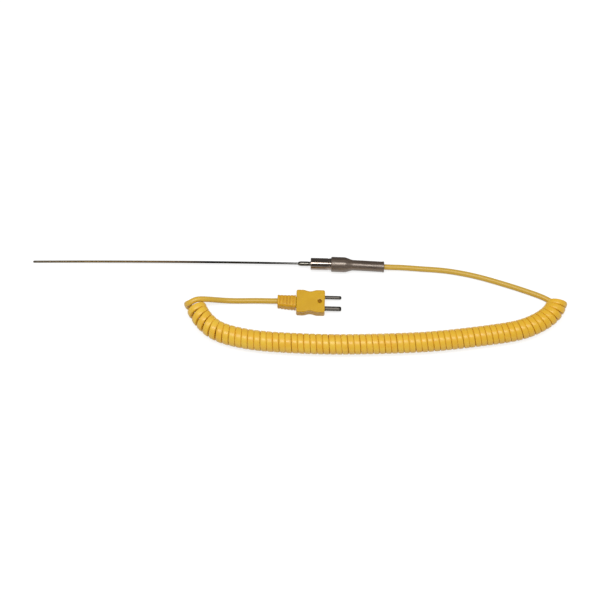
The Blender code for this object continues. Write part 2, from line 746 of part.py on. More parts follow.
def make_plug_half(name, low, high, rim, into):
    """One moulded half: its outline, rounded rim, wire well, pin slots and boot opening.

    into is +1 where the hollow opens upwards, in the base, and -1 in the cover. It returns the
    half with its cutters, and the function that hollows out one more box.
    """
    half = flat_piece(name, plug_outline(), low, high, "yellow_plastic")
    round_rim(half, rim, PLUG_EDGE, 3)
    pieces = [half]
    meeting = MID_Z + into * SEAM
    floor = rim + into * PLUG_WALL
    inner = PLUG_WIDTH / 2 - WAIST_DEPTH - PLUG_WALL

    def hollow(label, x0, x1, y0, y1, z0, z1):
        cutter = block(f"{name}_{label}", (x0, y0, min(z0, z1)), (x1, y1, max(z0, z1)))
        pieces.append(cutter)
        cut(half, cutter)

    hollow("well", PLUG_REAR_WALL, WELL_END_X, -inner, inner, floor, meeting)
    opening = BOOT_NECK_WIDTH / 2 + CLOSE_FIT
    depth = MID_Z - into * (BOOT_NECK_HEIGHT / 2 + CLOSE_FIT)
    hollow("boot_opening", -GAP, PLUG_REAR_WALL + GAP, -opening, opening, depth, meeting)
    for label, middle, width in pin_sides():
        reach = width / 2 + CLOSE_FIT
        bed = MID_Z - into * (PIN_THICKNESS / 2 + CLOSE_FIT / 2)
        start = PIN_REAR_X - GAP
        hollow(label + "_slot", start, PLUG_LENGTH + GAP, middle - reach, middle + reach, bed, meeting)
    return pieces, hollow


def upright_cutter(name, x, y, profile, steps=24):
    """A round cutter that stands at x, y; profile is (height, radius) from low to high."""
    cutter = turned(name, 0.0, profile, None, None, steps, upright=True)
    cutter.location = (x, y, 0.0)
    return cutter


def make_plug_body():
    """The base and the cover, which part at half height and hold the pins between them."""
    base_parts, _ = make_plug_half("plug_base", 0.0, MID_Z - SEAM / 2, 0.0, 1)
    cover_parts, hollow = make_plug_half("plug_cover", MID_Z + SEAM / 2, PLUG_THICKNESS, PLUG_THICKNESS, -1)
    base = base_parts[0]
    cover = cover_parts[0]
    roof = PLUG_THICKNESS - PLUG_WALL
    inner = PLUG_WIDTH / 2 - WAIST_DEPTH - PLUG_WALL
    for label, side in (("positive", 1), ("negative", -1)):
        edges = sorted((side * RIB_WIDTH / 2, side * inner))
        hollow(label + "_pocket", WELL_END_X - GAP, POCKET_END_X, *edges, MID_Z - SEAM, roof)
        bottom = MID_Z - PIN_THICKNESS / 2 - TERMINAL_SCREW_REACH - CLOSE_FIT
        radius = TERMINAL_SCREW_RADIUS + CLOSE_FIT
        well = upright_cutter(
            label + "_screw_hole",
            TERMINAL_X,
            side * PIN_SPACING / 2,
            [(bottom, radius), (MID_Z, radius)],
            TERMINAL_SCREW_STEPS,
        )
        base_parts.append(well)
        cut(base, well)
    shank = COVER_SCREW_RADIUS + CLOSE_FIT
    bottom = MID_Z - COVER_SCREW_REACH - CLOSE_FIT
    screw_hole = upright_cutter("cover_screw_hole", COVER_SCREW_X, 0.0, [(bottom, shank), (MID_Z + SEAM, shank)])
    base_parts.append(screw_hole)
    cut(base, screw_hole)
    seat = PLUG_THICKNESS - COVER_HEAD_DEPTH - COVER_HEAD_HEIGHT
    recess = COVER_HEAD_RADIUS + CLOSE_FIT
    profile = [
        (MID_Z - SEAM, shank),
        (seat, shank),
        (seat, recess),
        (PLUG_THICKNESS - DISH_DEPTH, recess),
        (PLUG_THICKNESS, DISH_RADIUS),
        (PLUG_THICKNESS + GAP, DISH_RADIUS),
    ]
    recess_cutter = upright_cutter("cover_screw_recess", COVER_SCREW_X, 0.0, profile)
    cover_parts.append(recess_cutter)
    cut(cover, recess_cutter)
    for item in base_parts + cover_parts:
        item.parent = PLUG_FRAME


def make_pin(name, middle, width):
    """A flat blade with a rounded tip and a hole for its terminal screw."""
    tip = PLUG_LENGTH + PIN_REACH
    half = width / 2
    corner = [math.radians(angle) for angle in (90, 60, 30, 0)]
    upper = [(PIN_REAR_X, half)]
    for angle in corner:
        x = tip - PIN_TIP_RADIUS + PIN_TIP_RADIUS * math.cos(angle)
        upper.append((x, half - PIN_TIP_RADIUS + PIN_TIP_RADIUS * math.sin(angle)))
    outline = upper + [(x, -y) for x, y in reversed(upper)]
    low = MID_Z - PIN_THICKNESS / 2
    high = MID_Z + PIN_THICKNESS / 2
    pin = flat_piece(name, outline, low, high, "nickel_alloy")
    for height in (low, high):
        round_rim(pin, height, PIN_EDGE, 1)
    radius = TERMINAL_SCREW_RADIUS + CLOSE_FIT
    hole_profile = [(low - GAP, radius), (high + GAP, radius)]
    hole = upright_cutter(name + "_hole", TERMINAL_X, 0.0, hole_profile, TERMINAL_SCREW_STEPS)
    cut(pin, hole)
    for item in (pin, hole):
        item.location.y = middle
        item.parent = PLUG_FRAME


def make_screw(name, x, y, seat, head_radius, head_height, radius, reach, steps):
    """A slotted cheese-head screw whose head sits at the height seat."""
    point = radius * SCREW_POINT_SHARE
    profile = [
        (seat - reach, radius - point),
        (seat - reach + point, radius),
        (seat, radius),
        (seat, head_radius),
        (seat + head_height - HEAD_CHAMFER, head_radius),
        (seat + head_height, head_radius - HEAD_CHAMFER),
    ]
    screw = turned(name, 0.0, profile, None, "dark_screw", steps, upright=True)
    top = seat + head_height
    low = (-head_radius - GAP, -SLOT_WIDTH / 2, top - SLOT_DEPTH)
    high = (head_radius + GAP, SLOT_WIDTH / 2, top + GAP)
    slot = block(name + "_slot", low, high)
    cut(screw, slot)
    for item in (screw, slot):
        item.location = (x, y, 0.0)
        item.rotation_euler.z = math.radians(SCREW_TURNS[name])
        item.parent = PLUG_FRAME


def make_tail(name, middle, wire_z, colour):
    """A core inside the plug, from the jacket's end to its bare end under the plate."""
    side = math.copysign(1.0, middle)
    start = JACKET_END_X + GAP
    bare_start = PIN_REAR_X - SEAM
    bare_end = TERMINAL_X - TERMINAL_SCREW_RADIUS - CLOSE_FIT * 2
    fan = abs(middle) - CORE_OFFSET
    rise = wire_z - MID_Z
    insulated = []
    for index in range(TAIL_STEPS + 1):
        share = index / TAIL_STEPS
        ease = share * share * (3 - 2 * share)
        x = start + (bare_start - SEAM - start) * share
        insulated.append((x, side * (CORE_OFFSET + fan * ease), MID_Z + rise * ease))
    bare = [(bare_start, middle, wire_z), (bare_end, middle, wire_z)]
    swell = [1.0] * len(insulated) + [CONDUCTOR_RADIUS / CORE_RADIUS] * len(bare)
    return tube(name + "_tail", insulated + bare, CORE_RADIUS, 8, colour, swell)


def make_terminals():
    """In the plug, each core's bare end lies on its blade under a plate and a screw."""
    blade_top = MID_Z + PIN_THICKNESS / 2
    wire_z = blade_top + CONDUCTOR_RADIUS + FINE_FIT
    plate_z = wire_z + CONDUCTOR_RADIUS + FINE_FIT
    seat = plate_z + TERMINAL_PLATE_THICKNESS + CLOSE_FIT
    reach = seat - (MID_Z - PIN_THICKNESS / 2 - TERMINAL_SCREW_REACH)
    colours = {"positive": "yellow_core", "negative": "red_core"}
    for name, middle, width in pin_sides():
        make_pin(name + "_pin", middle, width)
        make_screw(
            name + "_terminal_screw",
            TERMINAL_X,
            middle,
            seat,
            TERMINAL_HEAD_RADIUS,
            TERMINAL_HEAD_HEIGHT,
            TERMINAL_SCREW_RADIUS,
            reach,
            TERMINAL_SCREW_STEPS,
        )
        size = TERMINAL_PLATE_SIZE / 2
        plate = block(
            name + "_terminal_plate",
            (TERMINAL_X - size, middle - size, plate_z),
            (TERMINAL_X + size, middle + size, plate_z + TERMINAL_PLATE_THICKNESS),
            "tinned_copper",
        )
        hole_radius = TERMINAL_SCREW_RADIUS + CLOSE_FIT
        hole_profile = [(plate_z - GAP, hole_radius), (plate_z + TERMINAL_PLATE_THICKNESS + GAP, hole_radius)]
        hole = upright_cutter(name + "_plate_hole", TERMINAL_X, middle, hole_profile, TERMINAL_SCREW_STEPS)
        cut(plate, hole)
        plate.parent = PLUG_FRAME
        hole.parent = PLUG_FRAME
        tail = make_tail(name, middle, wire_z, colours[name])
        tail.parent = PLUG_FRAME


def rounded_bar(shape, x0, x1, width, height, corner, middle_z):
    """Adds a bar along X with four rounded long edges to this mesh."""
    centre = Vector(((x0 + x1) / 2, 0.0, middle_z))
    made = bmesh.ops.create_cube(
        shape, size=1.0, matrix=Matrix.LocRotScale(centre, None, Vector((x1 - x0, width, height)))
    )
    edges = {edge for vert in made["verts"] for edge in vert.link_edges}
    long_edges = [edge for edge in edges if abs(edge.verts[0].co.x - edge.verts[1].co.x) > 1e-6]
    bmesh.ops.bevel(shape, geom=long_edges, offset=corner, segments=4, profile=0.5, affect="EDGES")


def bar_object(name, bars, material=None):
    """One object of rounded bars, each given as (x0, x1, width, height, corner)."""
    shape = bmesh.new()
    for x0, x1, width, height, corner in bars:
        rounded_bar(shape, x0, x1, width, height, corner, MID_Z)
    mesh = bpy.data.meshes.new(name)
    shape.to_mesh(mesh)
    shape.free()
    return place(name, mesh, material)


def make_boot():
    """The boot, ribbed above and below, whose flange is trapped inside the plug's rear wall."""
    flange_x = PLUG_REAR_WALL + GAP
    flange_end = flange_x + FLANGE_LENGTH
    neck_corner = BOOT_CORNER - GAP
    core = (-BOOT_LENGTH + GAP, -GAP * 2, BOOT_CORE_WIDTH, BOOT_CORE_HEIGHT, BOOT_CORNER)
    boot = bar_object("boot", [core], "yellow_plastic")
    pitch = (BOOT_LENGTH - GAP) / (BOOT_RIBS - 1 + BOOT_RIB_SHARE)
    ribs = []
    for index in range(BOOT_RIBS):
        start = -BOOT_LENGTH + index * pitch
        ribs.append((start, start + pitch * BOOT_RIB_SHARE, BOOT_WIDTH, BOOT_HEIGHT, BOOT_CORNER))
    combine(boot, bar_object("boot_ribs", ribs), "UNION")
    neck = (-GAP * 3, flange_end - GAP, BOOT_NECK_WIDTH, BOOT_NECK_HEIGHT, neck_corner)
    combine(boot, bar_object("boot_neck", [neck]), "UNION")
    flange_width = BOOT_NECK_WIDTH + FLANGE_REACH * 2
    flange = (flange_x, flange_end, flange_width, BOOT_NECK_HEIGHT, neck_corner)
    combine(boot, bar_object("boot_flange", [flange]), "UNION")
    bore_path = [(-BOOT_LENGTH - GAP, 0.0, MID_Z), (flange_end + GAP, 0.0, MID_Z)]
    cut(boot, tube("boot_bore", bore_path, CORD_RADIUS + CLOSE_FIT * 2, 12))
    settled(boot)
    add_rings(boot.data, [-BOOT_LENGTH * ring / BOOT_BEND_RINGS for ring in range(1, BOOT_BEND_RINGS)])
    for vert in boot.data.vertices:
        vert.co.y += boot_sway(vert.co.x)
    boot.parent = PLUG_FRAME
    shade(boot)


def make_cover_screw():
    seat = PLUG_THICKNESS - COVER_HEAD_DEPTH - COVER_HEAD_HEIGHT + CLOSE_FIT
    reach = seat - (MID_Z - COVER_SCREW_REACH)
    make_screw(
        "cover_screw",
        COVER_SCREW_X,
        0.0,
        seat,
        COVER_HEAD_RADIUS,
        COVER_HEAD_HEIGHT,
        COVER_SCREW_RADIUS,
        reach,
        COVER_SCREW_STEPS,
    )


clear_scene()
PIECES = new_collection("thermocouple_probe")
CUTTERS = new_collection("cutters")
PLUG_FRAME = bpy.data.objects.new("plug_frame", None)
PLUG_FRAME.location = PLUG_PLACE
PIECES.objects.link(PLUG_FRAME)

make_sheath()
make_needle_inside()
make_ferrule()
make_barrel()
make_splices_and_potting()
make_strain_relief()
make_cord()
make_plug_body()
make_terminals()
make_boot()
make_cover_screw()
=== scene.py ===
"""The looks of a thermocouple probe with a curly lead and a miniature flat-pin plug.

Metres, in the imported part's frame: X along the probe from the needle's tip to the lead's exit,
+Z up from the table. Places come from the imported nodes' boxes, and sizes are named below.
"""

import json
import math

import bmesh
import bpy
import numpy as np
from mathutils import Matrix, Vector, noise


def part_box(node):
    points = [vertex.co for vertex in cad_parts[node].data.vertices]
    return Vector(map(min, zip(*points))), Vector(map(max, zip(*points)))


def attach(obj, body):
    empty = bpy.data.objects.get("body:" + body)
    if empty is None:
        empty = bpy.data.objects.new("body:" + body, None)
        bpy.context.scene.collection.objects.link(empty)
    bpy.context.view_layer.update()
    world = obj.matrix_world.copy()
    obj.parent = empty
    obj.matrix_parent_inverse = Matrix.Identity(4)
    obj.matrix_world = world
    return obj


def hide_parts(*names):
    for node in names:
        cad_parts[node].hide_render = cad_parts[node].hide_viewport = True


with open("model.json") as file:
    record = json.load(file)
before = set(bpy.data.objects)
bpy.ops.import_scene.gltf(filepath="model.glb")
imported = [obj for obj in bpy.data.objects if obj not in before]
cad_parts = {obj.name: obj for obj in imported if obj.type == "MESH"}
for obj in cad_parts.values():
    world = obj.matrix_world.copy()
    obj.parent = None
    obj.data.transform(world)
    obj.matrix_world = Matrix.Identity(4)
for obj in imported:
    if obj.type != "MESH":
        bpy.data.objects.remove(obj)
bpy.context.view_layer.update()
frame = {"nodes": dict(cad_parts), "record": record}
NODES = frame["nodes"]


def span(node):
    """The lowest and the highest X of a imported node."""
    low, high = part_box(node)
    return low.x, high.x


# Places along the probe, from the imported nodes
TIP_X, SHEATH_END_X = span("sheath")
FERRULE_X, _ = span("nose_ferrule")
BARREL_X, BARREL_END_X = span("barrel")
RELIEF_X, EXIT_X = span("strain_relief")
JACKET_X, _ = span("lead_to_coil")
BARREL_LOW, BARREL_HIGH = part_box("barrel")
AXIS_Z = (BARREL_LOW.z + BARREL_HIGH.z) / 2
BARREL_RADIUS = (BARREL_HIGH.z - BARREL_LOW.z) / 2
RELIEF_RADIUS = AXIS_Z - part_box("strain_relief")[0].z

# How far over the table its lowest pieces lie
TABLE_GAP = 0.00002

# Needle
SHEATH_RADIUS = 0.00075
NEEDLE_LENGTH = FERRULE_X - TIP_X
NEEDLE_SWAY = 0.0013
NEEDLE_BOW_POWER = 1.75
NEEDLE_DROP = AXIS_Z - SHEATH_RADIUS - TABLE_GAP
NEEDLE_RINGS = 150

# Nose ferrule
FERRULE_RADIUS = 0.0016
FERRULE_NOSE_RADIUS = 0.0011
FERRULE_NOSE_LENGTH = 0.0022
FERRULE_NOSE_EDGE = 0.00015
FERRULE_NOSE_STEPS = 12
FERRULE_NECK_RADIUS = 0.0014
FERRULE_NECK_X = BARREL_X - 0.0011
FERRULE_NECK_TAPER = 0.0006
FERRULE_NECK_LENGTH = 0.0003
FERRULE_COLLAR_EDGE = 0.0001
FERRULE_MOUTH_DEPTH = 0.0004
FERRULE_FIT = 0.00002

# Barrel
BARREL_EDGE = 0.0004
BARREL_REAR_EDGE = 0.0002
BARREL_OVERLAP = 0.0002
BARREL_RINGS = 20
GROOVE_DEPTH = 0.0002
GROOVE_WIDTH = 0.0012
GROOVE_SETBACK = 0.0016
GROOVE_STEPS = 12
GROOVE_SQUARENESS = 0.6

# Strain relief
RELIEF_LENGTH = EXIT_X - RELIEF_X
RELIEF_BULGE_LENGTH = 0.0086
RELIEF_CONE_LENGTH = 0.0067
RELIEF_TAIL_RADIUS = 0.00355
RELIEF_LIP_RADIUS = 0.00370
RELIEF_LIP_LENGTH = 0.0014
RELIEF_EDGE = 0.0004
RELIEF_FRONT = 0.0008
RELIEF_FRONT_MOUTH = 0.0003
RELIEF_BORE_DEPTH = 0.0015
RELIEF_RINGS = 110
RELIEF_END_EDGE = 0.0002
RELIEF_SWAY = 0.0005
RELIEF_DROP = AXIS_Z - RELIEF_LIP_RADIUS - TABLE_GAP
DROOP_X = RELIEF_X + RELIEF_BULGE_LENGTH
DROOP_POWER = 1.2

# Dents where the sleeve shrank unevenly: their depth, how close they lie along it and around
# it, the level of the noise that leaves no dent, and how far from its ends they fade
DENT_DEPTH = 0.00002
DENT_RATE = 260
DENT_TURN_RATE = 1.6
DENT_LEVEL = 0.6
DENT_FADE = 0.003

# Cord
CORD_RADIUS = 0.0019
CORD_STEP = 0.0010
CORD_SIDES = 24
COIL_RADIUS = 0.0068
HELIX_RADIUS = COIL_RADIUS - CORD_RADIUS
POINTS_PER_TURN = 28

# The coil's pitch, and how far its turns lean forwards on the outer side, along its length
COIL_PITCHES = [(0.05, 0.0047), (0.11, 0.0043), (0.20, 0.0041), (0.40, 0.0041)]
COIL_PITCHES += [(0.65, 0.0039), (1.0, 0.0038)]
COIL_LEANS = [(0.0, -0.74), (0.010, -0.36), (0.022, -0.02), (0.045, 0.14), (0.10, 0.12)]
COIL_LEANS += [(0.17, 0.02), (0.25, -0.05), (0.8, -0.04), (0.9, 0.02), (1.0, 0.10)]
COIL_OVERRUN = 0.0035
COIL_LEFT_START = 0.0006
COIL_FADE = 2.8
AXIS_STEP = 0.0004
PITCH_JITTER = 0.0002
JITTER_RATE = 0.9
FLAT_LIMITS = (0.0017, 0.0021)
TURN_SQUARENESS = 3.0

# How far before the coil its colour starts, and over what length it comes in; and the stretch
# of X over which the coil turns to its warmer colour
WARM_START = 0.015
WARM_LENGTH = 0.03
WARM_STRETCH = (0.10, 0.24)

# Plug, in its own frame: x from its rear face, y across, z from its underside
BODY_LOW, BODY_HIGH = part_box("plug_base")
PLUG_PLACE = Vector((BODY_LOW.x, (BODY_LOW.y + BODY_HIGH.y) / 2, 0.0))
PLUG_LENGTH = BODY_HIGH.x - BODY_LOW.x
PLUG_WIDTH = BODY_HIGH.y - BODY_LOW.y
PLUG_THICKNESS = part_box("plug_cover")[1].z
MID_Z = PLUG_THICKNESS / 2
PLUG_WALL = 0.0013
PLUG_REAR_WALL = 0.0026
COVER_EDGE = 0.0007
BASE_EDGE = 0.0004
PLUG_CORNER = 0.0012
WAIST_X = 0.0092
WAIST_REACH = 0.0050
WAIST_DEPTH = 0.0010
WELL_END_X = 0.0078
POCKET_END_X = 0.0132
RIB_WIDTH = 0.0010
PARTING = 0.00005
PARTING_CHAMFER = 0.00015
SLOT_FIT = 0.00008
MARK_X = 0.0160
MARK_ASIDE = 0.0052
MARK_SIZE = 0.0018
MARK_WIDTH = 0.0005
MARK_HEIGHT = 0.00012
MARK_ROOT = 0.0001
MARK_EDGE = 0.00006
HOLLOW_REACH = 0.0003
HOLLOW_OVERLAP = 0.0001
CORNER_STEPS = 8
SIDE_STEPS = 44
END_STEPS = 6
RIM_MARGIN = 0.0002

# Pins and terminals
PIN_SPACING = 0.0079
PIN_THICKNESS = 0.0008
PIN_WIDTHS = {"positive": 0.0024, "negative": 0.0032}
PIN_REAR_X = 0.0076
PIN_TIP_RADIUS = 0.0009
PIN_EDGE = 0.00015
TERMINAL_X = 0.0104
TERMINAL_HOLE_RADIUS = 0.00078
TERMINAL_HOLE_DEPTH = 0.0025
PIN_RINGS = 30
PIN_TIP_STEPS = 11
PIN_TIP_THINNING = 0.35
PIN_TIP_LENGTH = 0.0010
RUB_SETBACK = 0.0007
RUB_FADE = 0.0014

# Cover screw and its dish
COVER_SCREW_X = 0.0157
COVER_SHANK_RADIUS = 0.00088
COVER_RECESS_RADIUS = 0.00138
COVER_SEAT_Z = PLUG_THICKNESS - 0.0024
COVER_SCREW_REACH = 0.0027
DISH_RADIUS = 0.0022
DISH_DEPTH = 0.0003

# Boot
BOOT_LENGTH = PLUG_PLACE.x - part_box("boot")[0].x
BOOT_REAR_WIDTH = 0.0079
BOOT_FRONT_WIDTH = 0.0092
BOOT_DRAFT = 0.0004
BOOT_HEIGHT = 0.0076
BOOT_CORNER = 0.0015
BOOT_RIBS = 6
BOOT_RIB_SHARE = 0.62
BOOT_GROOVE_DEPTH = 0.0007
BOOT_GROOVE_EASE = 0.00015
BOOT_END_EDGE = 0.0004
BOOT_EDGE_STEPS = 5
BOOT_RINGS = 150
BOOT_REAR_RIM = 0.0004
BOOT_PLUG_GAP = 0.0003
BOOT_BORE_RINGS = 10
BOOT_NECK_WIDTH = 0.0066
BOOT_NECK_HEIGHT = 0.0052
FLANGE_X = 0.0029
FLANGE_LENGTH = 0.0009
FLANGE_WIDTH = 0.0082
BOOT_SWAY = 0.0006
BOOT_BORE_RADIUS = CORD_RADIUS + 0.00016
JACKET_END_X = 0.0042

# Cord routes on the table, measured from the middle of the strain relief's end, as in part.py
LEAD_ROUTE = [
    (0.0048, -0.0005, 0.00340),
    (0.0095, -0.0004, 0.00305),
    (0.0177, -0.0005, 0.00255),
    (0.0259, -0.0008, 0.00218),
    (0.0340, -0.0011, 0.00200),
    (0.0421, -0.0017, 0.00195),
    (0.0502, -0.0028, 0.00193),
    (0.0583, -0.0043, 0.00193),
    (0.0664, -0.0062, 0.00193),
    (0.0744, -0.0084, 0.00193),
    (0.0825, -0.0108, 0.00193),
    (0.0905, -0.0133, 0.00193),
    (0.0985, -0.0160, 0.00193),
    (0.1060, -0.0188, 0.00193),
    (0.1096, -0.0205, 0.00193),
]
COIL_ROUTE = [
    (-0.1269, -0.0301),
    (-0.1245, -0.0354),
    (-0.1196, -0.0426),
    (-0.1116, -0.0492),
    (-0.1000, -0.0533),
    (-0.0860, -0.0557),
    (-0.0660, -0.0570),
    (-0.0420, -0.0575),
    (-0.0180, -0.0570),
    (0.0060, -0.0558),
    (0.0300, -0.0540),
    (0.0540, -0.0509),
    (0.0760, -0.0474),
    (0.0920, -0.0437),
    (0.1042, -0.0380),
    (0.1095, -0.0341),
    (0.1131, -0.0300),
    (0.1158, -0.0240),
]
PLUG_LEAD_ROUTE = [
    (-0.0749, -0.0268, 0.00360),
    (-0.0790, -0.0266, 0.00300),
    (-0.0871, -0.0264, 0.00215),
    (-0.0951, -0.0266, 0.00193),
    (-0.1032, -0.0269, 0.00250),
    (-0.1071, -0.0272, 0.00360),
    (-0.1110, -0.0276, 0.00530),
    (-0.1149, -0.0281, 0.00730),
    (-0.1171, -0.0284, 0.00850),
    (-0.1187, -0.0287, 0.00940),
]

# Camera
VIEW_ELEVATION = math.radians(70.0)
VIEW_AZIMUTH = math.radians(1.4)
VIEW_DISTANCE = 1.0
VIEW_TARGET = Vector((0.06285, -0.0243, 0.0))
LENS = 89.1

# Light: a long soft box overhead, between two dark cards that only reflections show
SKY_LIGHT = 0.48
BOX_LENGTH = 0.9
BOX_WIDTH = 0.22
BOX_HEIGHT = 0.9
BOX_X = 0.06
BOX_Y = -0.08
BOX_POWER = 5.3
CARD_LEVEL = 0.16
CARD_REACH = 2.6
CARD_SLOT = 0.23
CARD_HEIGHT = 0.88
CARD_FLOOR_Y = 0.008
CARD_FLOOR_Z = 0.00015
FLOOR_REACH = 3.0
FLOOR_BOUNCE = 0.55
FLOOR_SHADOW = 0.30
FLOOR_LIFT = 0.78
WHITE = (1.0, 1.0, 1.0, 1.0)
BLACK = (0.0, 0.0, 0.0, 1.0)


def srgb(red, green, blue):
    """A linear colour from 8-bit screen values."""
    def linear(value):
        share = value / 255
        return share / 12.92 if share <= 0.04045 else ((share + 0.055) / 1.055) ** 2.4

    return (linear(red), linear(green), linear(blue), 1.0)


def fill_in(node, **values):
    """Sets a node's inputs; an underscore in a name stands for a space."""
    for name, value in values.items():
        node.inputs[name.replace("_", " ")].default_value = value


class Finish:
    """A Principled material that gets its nodes one at a time."""

    def __init__(self, name, colour, roughness, metallic=0.0):
        self.material = bpy.data.materials.new(name)
        self.material.use_nodes = True
        self.tree = self.material.node_tree
        self.shader = self.tree.nodes["Principled BSDF"]
        self.material.diffuse_color = colour
        fill_in(self.shader, Base_Color=colour, Roughness=roughness, Metallic=metallic)

    def node(self, kind, **values):
        made = self.tree.nodes.new("ShaderNode" + kind)
        for key, value in values.items():
            setattr(made, key, value)
        return made

    def link(self, output, target):
        self.tree.links.new(output, target)

    def grain(self, size, detail=3.0, stretch=(1.0, 1.0, 1.0)):
        """Noise with features of about this size, in metres, longer along the stretched axes."""
        mapping = self.node("Mapping")
        fill_in(mapping, Scale=[1.0 / (size * along) for along in stretch])
        self.link(self.node("TexCoord").outputs["Object"], mapping.inputs["Vector"])
        texture = self.node("TexNoise")
        fill_in(texture, Scale=1.0, Detail=detail)
        self.link(mapping.outputs["Vector"], texture.inputs["Vector"])
        return texture.outputs["Fac"]

    def along_x(self):
        """The place along X, in metres."""
        parts = self.node("SeparateXYZ")
        self.link(self.node("TexCoord").outputs["Object"], parts.inputs["Vector"])
        return parts.outputs["X"]

    def painted(self, name):
        """A number that the mesh carries at each of its points."""
        return self.node("Attribute", attribute_name=name).outputs["Fac"]

    def ranged(self, value, low=0.0, high=1.0, start=0.35, end=0.65):
        """A value stretched from start..end to low..high."""
        mapped = self.node("MapRange")
        fill_in(mapped, From_Min=start, From_Max=end, To_Min=low, To_Max=high)
        self.link(value, mapped.inputs["Value"])
        return mapped.outputs["Result"]

    def blend(self, share, first, second):
        """A colour between two, each a colour or a socket."""
        mixed = self.node("Mix", data_type="RGBA")
        self.link(share, mixed.inputs["Factor"])
        for value, socket in ((first, mixed.inputs[6]), (second, mixed.inputs[7])):
            if isinstance(value, tuple):
                socket.default_value = value
            else:
                self.link(value, socket)
        return mixed.outputs[2]

    def colour(self, socket):
        self.link(socket, self.shader.inputs["Base Color"])

    def rough(self, socket):
        self.link(socket, self.shader.inputs["Roughness"])

    def relief(self, height, depth):
        """Bump from a height socket, this many metres deep."""
        bump = self.node("Bump")
        fill_in(bump, Distance=depth)
        self.link(height, bump.inputs["Height"])
        self.link(bump.outputs["Normal"], self.shader.inputs["Normal"])


def moulded(name, light, dark, roughness, grain_size=0.00025, depth=0.000008):
    """Moulded or extruded plastic: faint clouds of colour, uneven gloss and a fine skin."""
    skin = Finish(name, light, roughness)
    fill_in(skin.shader, Specular_IOR_Level=0.38)
    clouds = skin.ranged(skin.grain(0.006, 2.0))
    skin.colour(skin.blend(clouds, light, dark))
    skin.rough(skin.ranged(skin.grain(0.002), roughness - 0.05, roughness + 0.07))
    skin.relief(skin.grain(grain_size, 4.0), depth)
    return skin


def jacket_finish():
    """The cord's yellow jacket, with painted shade deepening its colour where the turns face each other.
    """
    straight = srgb(205, 166, 60)
    light = srgb(236, 192, 60)
    dark = srgb(233, 180, 50)
    # groove is painted shade: the deeper colour of the sides of the turns that face each other
    groove = srgb(234, 180, 46)
    warm = srgb(232, 180, 42)
    skin = Finish("jacket", light, 0.36)
    clouds = skin.ranged(skin.grain(0.007, 2.0))
    yellow = skin.blend(clouds, light, dark)
    warmth = skin.ranged(skin.along_x(), 0.0, 1.0, *WARM_STRETCH)
    turns = skin.blend(warmth, yellow, warm)
    body = skin.blend(skin.painted("coiled"), straight, turns)
    turn_shade = skin.ranged(skin.painted("groove"), 0.0, 0.6, 0.6, 1.0)
    skin.colour(skin.blend(turn_shade, body, groove))
    skin.rough(skin.ranged(skin.grain(0.0018), 0.30, 0.40))
    skin.relief(skin.grain(0.0004, 3.0), 0.00001)
    return skin


def sleeve_finish():
    """The shrink sleeve: satin dark brown, mottled, with faint streaks along it."""
    light = srgb(90, 76, 65)
    dark = srgb(62, 49, 40)
    skin = Finish("sleeve", dark, 0.36)
    fill_in(skin.shader, IOR=1.72, Specular_IOR_Level=1.0, Specular_Tint=srgb(255, 240, 226))
    streaks = skin.ranged(skin.grain(0.0014, 3.0, (12.0, 1.0, 1.0)))
    skin.colour(skin.blend(streaks, dark, light))
    skin.rough(skin.ranged(skin.grain(0.003, 2.0, (3.0, 1.0, 1.0)), 0.33, 0.40))
    skin.relief(skin.grain(0.003, 1.0, (8.0, 1.0, 1.0)), 0.000005)
    return skin


def turned_steel_finish(name, light, dark):
    """Polished turned steel, with fine marks around it and a few dull patches."""
    skin = Finish(name, light, 0.12, 1.0)
    skin.colour(skin.blend(skin.ranged(skin.grain(0.003)), light, dark))
    skin.rough(skin.ranged(skin.grain(0.0015, 4.0, (0.3, 1.0, 1.0)), 0.10, 0.16))
    skin.relief(skin.grain(0.0002, 2.0, (1.0, 80.0, 80.0)), 0.0000003)
    return skin


def needle_finish():
    """The drawn sheath: grey at the tip, straw and brown with heat, dark, then grey again."""
    grey = srgb(104, 95, 82)
    straw = srgb(118, 98, 64)
    brown = srgb(110, 87, 56)
    black = srgb(16, 15, 10)
    dull_steel = srgb(44, 44, 41)
    steel = srgb(118, 117, 115)
    skin = Finish("drawn_sheath", grey, 0.25, 1.0)
    tint = skin.node("ValToRGB")
    ramp = tint.color_ramp
    ramp.elements[0].color = grey
    ramp.elements[1].color = steel
    for position, colour in ((0.2, straw), (0.5, brown), (0.66, black), (0.88, dull_steel)):
        ramp.elements.new(position).color = colour
    skin.link(skin.ranged(skin.along_x(), 0.0, 1.0, TIP_X, FERRULE_X), tint.inputs["Fac"])
    smoke = skin.ranged(skin.grain(0.004, 4.0, (6.0, 1.0, 1.0)), 0.0, 0.3)
    skin.colour(skin.blend(smoke, tint.outputs["Color"], srgb(66, 58, 48)))
    skin.rough(skin.ranged(skin.grain(0.002, 3.0, (8.0, 1.0, 1.0)), 0.24, 0.34))
    skin.relief(skin.grain(0.0003, 2.0, (40.0, 1.0, 1.0)), 0.0000003)
    return skin


def blade_finish():
    """The plug's blades: a dark stamped nickel alloy, rubbed lighter and duller along the middle."""
    light = srgb(138, 131, 123)
    dark = srgb(94, 91, 85)
    skin = Finish("blade_alloy", dark, 0.25, 1.0)
    scuffs = skin.grain(0.0005, 3.0, (10.0, 1.0, 1.0))
    rubbed = skin.node("Math", operation="MULTIPLY")
    skin.link(skin.painted("rub"), rubbed.inputs[0])
    skin.link(skin.ranged(scuffs, 0.7, 1.0), rubbed.inputs[1])
    skin.colour(skin.blend(rubbed.outputs[0], dark, light))
    skin.rough(skin.ranged(rubbed.outputs[0], 0.22, 0.52, 0.0, 1.0))
    skin.relief(skin.grain(0.0001, 2.0, (40.0, 1.0, 1.0)), 0.0000015)
    return skin


